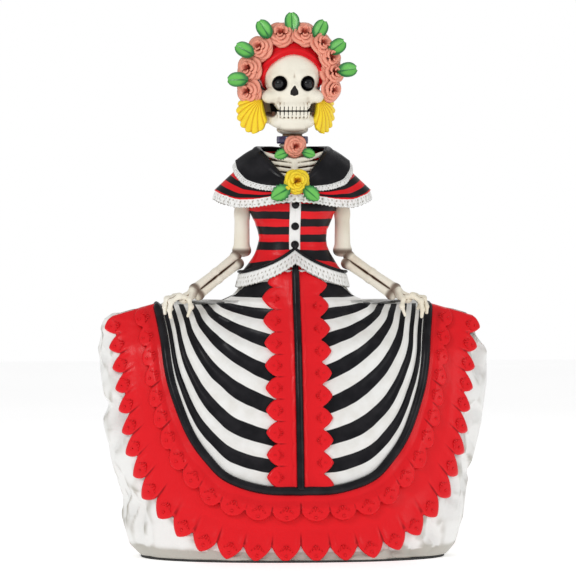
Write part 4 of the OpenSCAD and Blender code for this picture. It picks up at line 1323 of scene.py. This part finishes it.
def face_marks(points):
    side = np.abs(points[:, 0])
    x, y, z = points.T
    from_eye = np.hypot((side - eye_x) / 4.2, (z - eye_z) / 4.35)
    socket = 1 - ease((from_eye - 0.9) / 0.18)
    socket *= ease((y + 16.5) / 1.2) * (y < 0) * (z > -6)
    nose_half = 1.75 * ease((1.6 - z) / 3.6) + 0.35
    nose = (1 - ease((side - nose_half) / 0.4)) * (y < -8)
    nose = nose * ease((1.9 - z) / 0.6) * ease((z + 4.5 - 0.35 * side) / 0.5)
    front = ease((-4 - y) / 3) * (side < 12.6)
    gap = np.abs((side / tooth_pitch + 0.5) % 1)
    gap = np.minimum(gap, 1 - gap) * tooth_pitch
    line = (1 - ease((gap - 0.12) / 0.2)) * (1 - ease((np.abs(z - mouth_z) - 2.2) / 0.7)) * front
    mouth = (1 - ease((np.abs(z - mouth_z) - 0.28) / 0.2)) * front
    # The hollows under the cheekbones get painted shade.
    from_cheek = np.hypot((side - 11.8) / 3.0, (z + 12) / 4.0)
    cheek_shade = (1 - ease((from_cheek - 0.75) / 0.6)) * (y < -1) * (side > 10.2)
    # The bone is also darker under the jaw, on the temples and the back of the jaw, round the sockets and
    # towards the back of the head.
    under = ease((-20.5 - z) / 4) * 0.75 + 0.5 * ease((-16.5 - z) / 2) * ease((y + 2) / 4)
    temple = 0.25 * ease((side - 13.5) / 3) * ease((10 - z) / 8)
    temple = temple + 0.6 * (side > 10.5) * ease((y + 5) / 3) * (z < -2)
    rim = 0.35 * (1 - ease((from_eye - 0.95) / 0.5)) * (y < -4)
    return {"ink": np.clip(socket + nose + 0.9 * line + mouth, 0, 1),
            "stain_and_shade": np.clip(0.95 * cheek_shade + under + temple + rim + 0.35 * ease((y - 2) / 6), 0, 1)}


bone_piece("skull_antiqued", skull, (-18.5, -20, -13.5), (18.5, 23, 30), 0.42, bone.material, ["skull"],
           "bone", passes=14, deep=0.6, marks=face_marks, turned=turned_head)
bone_piece("jaw_antiqued", jaw, (-18, -20, -25), (18, 10, -1), 0.42, bone.material, ["jaw"], "bone",
           passes=14, deep=0.6, marks=face_marks, turned=turned_head)

# Two glass-black beads sit deep in the sockets.
arc = np.linspace(0.03, math.pi - 0.03, 22)
bead_points, bead_faces = lathe([(3.3 * math.sin(a), -3.3 * math.cos(a)) for a in arc], 32)
eye_parts = []
for side in (-1, 1):
    points = bead_points + (side * eye_x, -12.4, eye_z)
    eye_parts.append((points @ turned_head[0].T + turned_head[1], bead_faces))
glossy = Paint("bead_black", roughness=0.06, coat=0.15, specular=0.3)
glossy.finish(glossy.blend(glossy.noise(80.0).rise(0.2, 0.9), (0.004, 0.004, 0.005), (0.012, 0.012, 0.016)))
outward_piece("eye_beads_painted", *joined(eye_parts), glossy.material, ["eye_beads"], "black_enamel")


# ---------------------------------------------------------------- headscarf and hair
# A red scarf is moulded tight over the skull and knotted under the hair, which is a mass of black
# pulp combed into strands behind the head.
def scarf(p):
    x, y, z = p[..., 0], p[..., 1], p[..., 2]
    over = cranium(p)
    fold = 0.22 * np.sin(z * 1.5 + x * x * 0.045 + y * 0.5)
    hem = 19.0 - 9.5 * (x / 16) ** 2 - 0.95 * np.maximum(y + 12, 0)
    solid = np.maximum(over - 1.5 - fold, (hem - z) * 0.8)
    return np.maximum(solid, -(over + 0.9))


def hair(p):
    x, y, z = p[..., 0], p[..., 1], p[..., 2]
    mass = weld(ball(p, (0, 10.5, 6), (18.4, 13.5, 20)), ball(p, (0, 13, -9), (16.5, 9.5, 11)), 5)
    mass = weld(mass, ball(p, (0, 21.5, -2), (10, 6.5, 10)), 2.5)
    strand = 0.55 * np.abs(np.sin(np.arctan2(x, z + 24) * 26 + 0.25 * y)) - 0.25
    front = np.maximum(mass + strand, -(y - 1.0) * 0.9)
    return np.maximum(front, -(ball(p, (0, -2, -12), (12.5, 17, 12))))


bone_piece("headscarf_painted", scarf, (-19.5, -19, -2), (19.5, 24, 31), 0.5, enamel_red.material,
           ["headscarf"], "red_enamel", turned=turned_head, passes=8, deep=0.35)
hair_black = Paint("hair_black", roughness=0.6, specular=0.15)
hair_black.finish(hair_black.blend(hair_black.noise(200.0).rise(0.3, 0.8), (0.008, 0.006, 0.006),
                                   (0.022, 0.016, 0.014)),
                  hair_black.noise(300.0, 4.0), 0.1)
bone_piece("hair_painted", hair, (-20, 0, -22), (20, 29, 28), 0.55, hair_black.material, ["hair"],
           "black_enamel", turned=turned_head)


# ---------------------------------------------------------------- roses
# Each rose is built of rolled paper petals round a bud, with painted shade between the petals,
# darkest at their bases. The same petal is used small in the middle and wide outside.
def petal_shape():
    rows, columns = 9, 13
    v = np.linspace(0, 1, rows)[:, None]
    u = np.linspace(-1, 1, columns)[None]
    spread = math.radians(66) * u * (0.5 + 0.5 * np.sin(math.pi * v * 0.6))
    lip = 1 - 0.2 * np.abs(u) ** 3 * v
    reach = (0.14 + 0.80 * v ** 0.85 + 0.14 * v ** 5) * lip + 0.035 * np.sin(u * 4 + 0.6) * v
    height = (1.0 * v ** 0.8 - 0.42 * v ** 4) * lip + 0.05 * np.cos(u * 6 + 0.4) * v
    top = np.stack([reach * np.sin(spread), reach * np.cos(spread), height + 0 * u], -1)
    under = top * (0.9, 0.9, 1) - np.array([0, 0.04, 0.08])
    points, faces = slab(top, under)
    # Painted shade at the base of each petal, deep inside the rose.
    petal_base_shade = np.clip(1.15 * (1 - v) ** 1.4, 0, 1) + 0 * u
    return points, faces, {"hollow": both_faces(petal_base_shade)}


petal = pattern("rose_petal", *petal_shape())
make_outward(petal)
# Rows of petals from the bud outwards: how many, how wide and tall, the first one's turn, how high.
whorls = [(2, 0.30, 1.05, 0.0, 0.24), (3, 0.52, 0.95, 0.4, 0.12), (4, 0.78, 0.78, 0.15, 0.02),
          (5, 1.06, 0.5, 0.6, -0.06)]


def rose_spots(centre, facing, size):
    """Spots for the petals of one rose that looks along facing."""
    base = Vector(facing).to_track_quat("Z", "Y").to_matrix()
    spots = []
    for count, wide, tall, start, raised in whorls:
        for k in range(count):
            angle = 2 * math.pi * (k + start) / count + 0.3 * math.sin(7 * k + 3 * start + centre[0])
            tilt = Matrix.Rotation(-0.16 + 0.14 * math.sin(5 * k + count + centre[2]), 3, "X")
            turn = (base @ Matrix.Rotation(angle, 3, "Z") @ tilt).to_euler()
            place = np.asarray(centre) + np.array(base @ Vector((0, 0, (raised - 0.1) * size)))
            spots.append((place, turn, (size * wide, size * wide, size * tall)))
    return spots


def flower_paint(name, light, dark):
    paint = Paint(name, roughness=0.42, coat=0.05, specular=0.3)
    shade = paint.on_mesh("hollow") * 1.1 + (paint.noise(220.0, 3.0) - 0.5) * 0.35
    paint.finish(paint.blend(shade.rise(0.22, 0.95), light, dark), paint.noise(500.0, 3.0), 0.12)
    return paint


coral = flower_paint("coral_petals", (0.88, 0.35, 0.245), (0.50, 0.08, 0.05))
yellow = flower_paint("yellow_petals", (0.94, 0.70, 0.03), (0.62, 0.26, 0.01))


def crown_centres():
    places = [(-25.0, 261.0), (-24.8, 273.2), (-18.8, 284.6), (-7.2, 292.4), (5.4, 292.6), (15.6, 287.0),
              (20.4, 279.4), (21.8, 271.0), (21.2, 262.0)]
    return [(x, -7.5 - 2.0 * math.cos(math.atan2(x, z - 268)), z) for x, z in places]


def middle_of(node):
    low, high = mm_box(node)
    return (low + high) / 2


crown_middle = np.array([0, 6, 268])
node_places = [middle_of("crown_rose_%d" % i) for i in range(1, 10)]
for centre in crown_centres():
    gaps = [np.hypot(n[0] - centre[0], n[2] - centre[2]) for n in node_places]
    index = int(np.argmin(gaps))
    node_places[index] = node_places[index] + 1000  # taken: no other rose is near it now
    facing = (np.array(centre) - crown_middle) * (0.8, 1, 0.55) + np.array([0, -12.5, 0])
    node = "crown_rose_%d" % (index + 1)
    lay(node + "_petals", petal, rose_spots(centre, facing, 6.8), coral.material, [node], "coral_paint")
wreath = [(x * 0.94, y + 5.0, z - 0.06 * (z - 268)) for x, y, z in crown_centres()[::-1]]
wreath_path = curve_of([(23, 0.5, 257)] + wreath + [(-24, 0.5, 255)], np.linspace(0, 1, 90))
roll_piece("crown_wreath", wreath_path, 3.4, coral.material, (), "coral_paint", around=14)

brooch_at = middle_of("brooch_rose") + (0.2, -3.5, 0)
choker_at = middle_of("choker_rose") + (0.6, -1.5, -0.6)
lay("brooch_rose_petals", petal, rose_spots(brooch_at, (0.05, -1, 0.1), 6.3), yellow.material,
    ["brooch_rose"], "yellow_paint")
lay("choker_rose_petals", petal, rose_spots(choker_at, (0.08, -1, 0.05), 5.7), coral.material,
    ["choker_rose"], "coral_paint")
put_away(petal)


# ---------------------------------------------------------------- leaves
# Leaves of pressed paper with a groove down the middle, painted green and dark at the edge, with
# painted shade in the groove and towards the stalk. Round ones stand behind the crown, and notched
# ones are glued under the brooch and the choker rose.
def leaf_shape(length, width, notch, notches, cup):
    rows, columns = 21, 13
    v = np.linspace(0, 1, rows)[:, None]
    u = np.linspace(-1, 1, columns)[None]
    half = width / 2 * (1 - np.abs(2 * np.clip(v, 0.02, 0.98) - 1) ** 2.3) ** (0.5 if notch == 0 else 0.75)
    half = half * (1 + notch * (np.abs(((v * notches) % 1) - 0.5) - 0.25) * np.abs(u) ** 3)
    x = half * u
    y = length * v + 0 * u
    rib = 0.55 * np.exp(-(u / 0.12) ** 2) * (1 - v)
    vein = 0.16 * np.cos((v * 9 - np.abs(u) * 2.2) * 2 * math.pi) * (1 - np.abs(u))
    z = cup * (np.abs(u) ** 2 * 0.5 - 0.6 * (v - 0.5) ** 2) * width * 0.3 + 0.7 - rib + vein
    top = np.stack([x, y, z], -1)
    points, faces = slab(top, top - np.array([0, 0, 0.9]))
    # Dark at the painted edge, with painted shade in the middle groove and towards the stalk.
    edge = np.clip(np.abs(u) ** 3 + np.exp(-(u / 0.1) ** 2) * 0.7 + (1 - v) ** 4, 0, 1) + 0 * v
    return points, faces, {"hollow": both_faces(edge)}


green = Paint("leaf_green", roughness=0.33, coat=0.2, specular=0.35)
shade = green.on_mesh("hollow") + (green.noise(260.0, 3.0) - 0.5) * 0.4
green.finish(green.blend(shade.rise(0.1, 0.85), (0.15, 0.55, 0.10), (0.015, 0.17, 0.04)),
             green.noise(450.0, 3.0), 0.12)

round_leaf = pattern("round_leaf", *leaf_shape(11.5, 8.4, 0.0, 6, 1.0))
notched_leaf = pattern("notched_leaf", *leaf_shape(12.5, 9.2, 0.55, 6, 0.8))
for shape in (round_leaf, notched_leaf):
    make_outward(shape)
leaf_ends = [(-33.0, 266.6), (-29.0, 284.2), (-17.4, 296.4), (-1.2, 300.4), (15.3, 296.4), (25.4, 286.2),
             (31.5, 272.5)]
crown_spots = []
for x, z in leaf_ends:
    way = np.array([x, 0, z - 268.0])
    way /= np.linalg.norm(way)
    start = np.array([x, -10.5, z]) - way * 7.2
    crown_spots.append((start, turn_to(way + (0, 0.35, 0), (0.3 * way[0], -1.0, 0.25)), 1.0))
lay("crown_leaves_painted", round_leaf, crown_spots, green.material, ["crown_leaves"], "green_paint")
brooch_spots = [((-3.6, -26.0, brooch_at[2] - 3.6), turn_to((-0.86, 0.0, -0.50), (0, -1, 0.15)), 0.98),
                ((4.0, -26.0, brooch_at[2] - 3.4), turn_to((0.74, 0.0, -0.67), (0, -1, 0.15)), 0.88)]
lay("brooch_leaves_painted", notched_leaf, brooch_spots, green.material, ["brooch_leaves"], "green_paint")
choker_y, choker_z = choker_at[1] - 0.2, choker_at[2]
choker_spots = [((-3.4, choker_y, choker_z - 3.2), turn_to((-0.93, 0.1, -0.36), (0, -1, 0.2)), 0.66),
                ((4.2, choker_y, choker_z - 3.0), turn_to((0.95, 0.1, -0.3), (0, -1, 0.2)), 0.62)]
lay("choker_leaves_painted", notched_leaf, choker_spots, green.material, ["choker_leaves"], "green_paint")
put_away(round_leaf)
put_away(notched_leaf)


# ---------------------------------------------------------------- earrings
# Two fans of ribbed paper like scallop shells, painted yellow, with painted shade in the grooves
# and towards the hinge. They hang beside the jaw and are glued to the hair behind.
fan_reach = [(174, 10), (184, 13.6), (197, 15.8), (211, 17.6), (235, 19.4), (253, 19.6), (266, 18),
             (275, 16), (286, 12)]


def shell_fan(side):
    rows, columns = 26, 121
    ribs = 8
    v = np.linspace(0.04, 1, rows)[:, None]
    u = np.linspace(0, 1, columns)[None]
    angle = np.radians(174 + 112 * u)
    wave = np.abs(np.cos(math.pi * ribs * u))
    reach = table_of(fan_reach, 174 + 112 * u) * (1 + 0.05 * wave * v ** 3)
    x = reach * v * np.cos(angle)
    z = reach * v * np.sin(angle)
    dome = 3.4 * np.sin(math.pi * v ** 0.8 * 0.9) * (0.5 + 0.5 * np.sin(math.pi * u) ** 0.5)
    relief = 1.25 * wave ** 0.7 * v ** 0.6
    y = -(dome + relief)
    top = np.stack([x, y, z], -1)
    under = np.stack([x * 0.98, 0.5 - dome * 0.35 + 0 * y, z * 0.98], -1)
    points, faces = slab(top, under)
    # Painted shade in the grooves between the ribs and towards the hinge.
    groove_shade = np.clip(1.0 - wave ** 0.6 * 1.15 + 0.5 * (1 - v) ** 3, 0, 1)
    yaw = math.radians(38 if side < 0 else 52)
    c, s = math.cos(yaw), math.sin(yaw)
    points = points @ np.array([[c, -s, 0], [s, c, 0], [0, 0, 1]])
    points[:, 0] *= -side
    points += np.array([-17.8 if side < 0 else 12.8, -8.5, 256.2])
    node = "earring_left" if side > 0 else "earring_right"
    outward_piece(node + "_painted", points, faces, shell_yellow.material, [node], "yellow_paint",
                  {"hollow": both_faces(groove_shade)})


shell_yellow = flower_paint("shell_yellow", (0.94, 0.69, 0.02), (0.72, 0.36, 0.01))
for side in (-1, 1):
    shell_fan(side)


# ---------------------------------------------------------------- hidden frame
# A felt pad, a pine board, post and disc, a screw and two steel wires carry the figure inside.
# They stay as the frame has them and only get their own materials.
def plain(name, light, dark, roughness, scale, stretch=(1, 1, 1), metallic=0.0):
    paint = Paint(name, roughness=roughness)
    paint.shader.inputs["Metallic"].default_value = metallic
    grain = paint.noise(scale, 4.0, 0.6, stretch)
    paint.finish(paint.blend(grain.rise(0.3, 0.7), light, dark), grain, 0.2)
    return paint.material


felt = plain("black_felt", (0.02, 0.02, 0.02), (0.05, 0.05, 0.048), 0.95, 700.0)
pine = plain("bare_wood", (0.62, 0.42, 0.22), (0.42, 0.25, 0.11), 0.7, 120.0, (1, 1, 0.08))
steel = plain("plain_steel", (0.5, 0.5, 0.52), (0.35, 0.35, 0.37), 0.35, 300.0, metallic=1.0)
for node, finish in (("felt_pad", felt), ("base_board", pine), ("centre_post", pine), ("waist_disc", pine),
                     ("post_screw", steel), ("neck_wire", steel), ("arm_wire", steel)):
    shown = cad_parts[node]
    shown.data.materials.clear()
    shown.data.materials.append(finish)
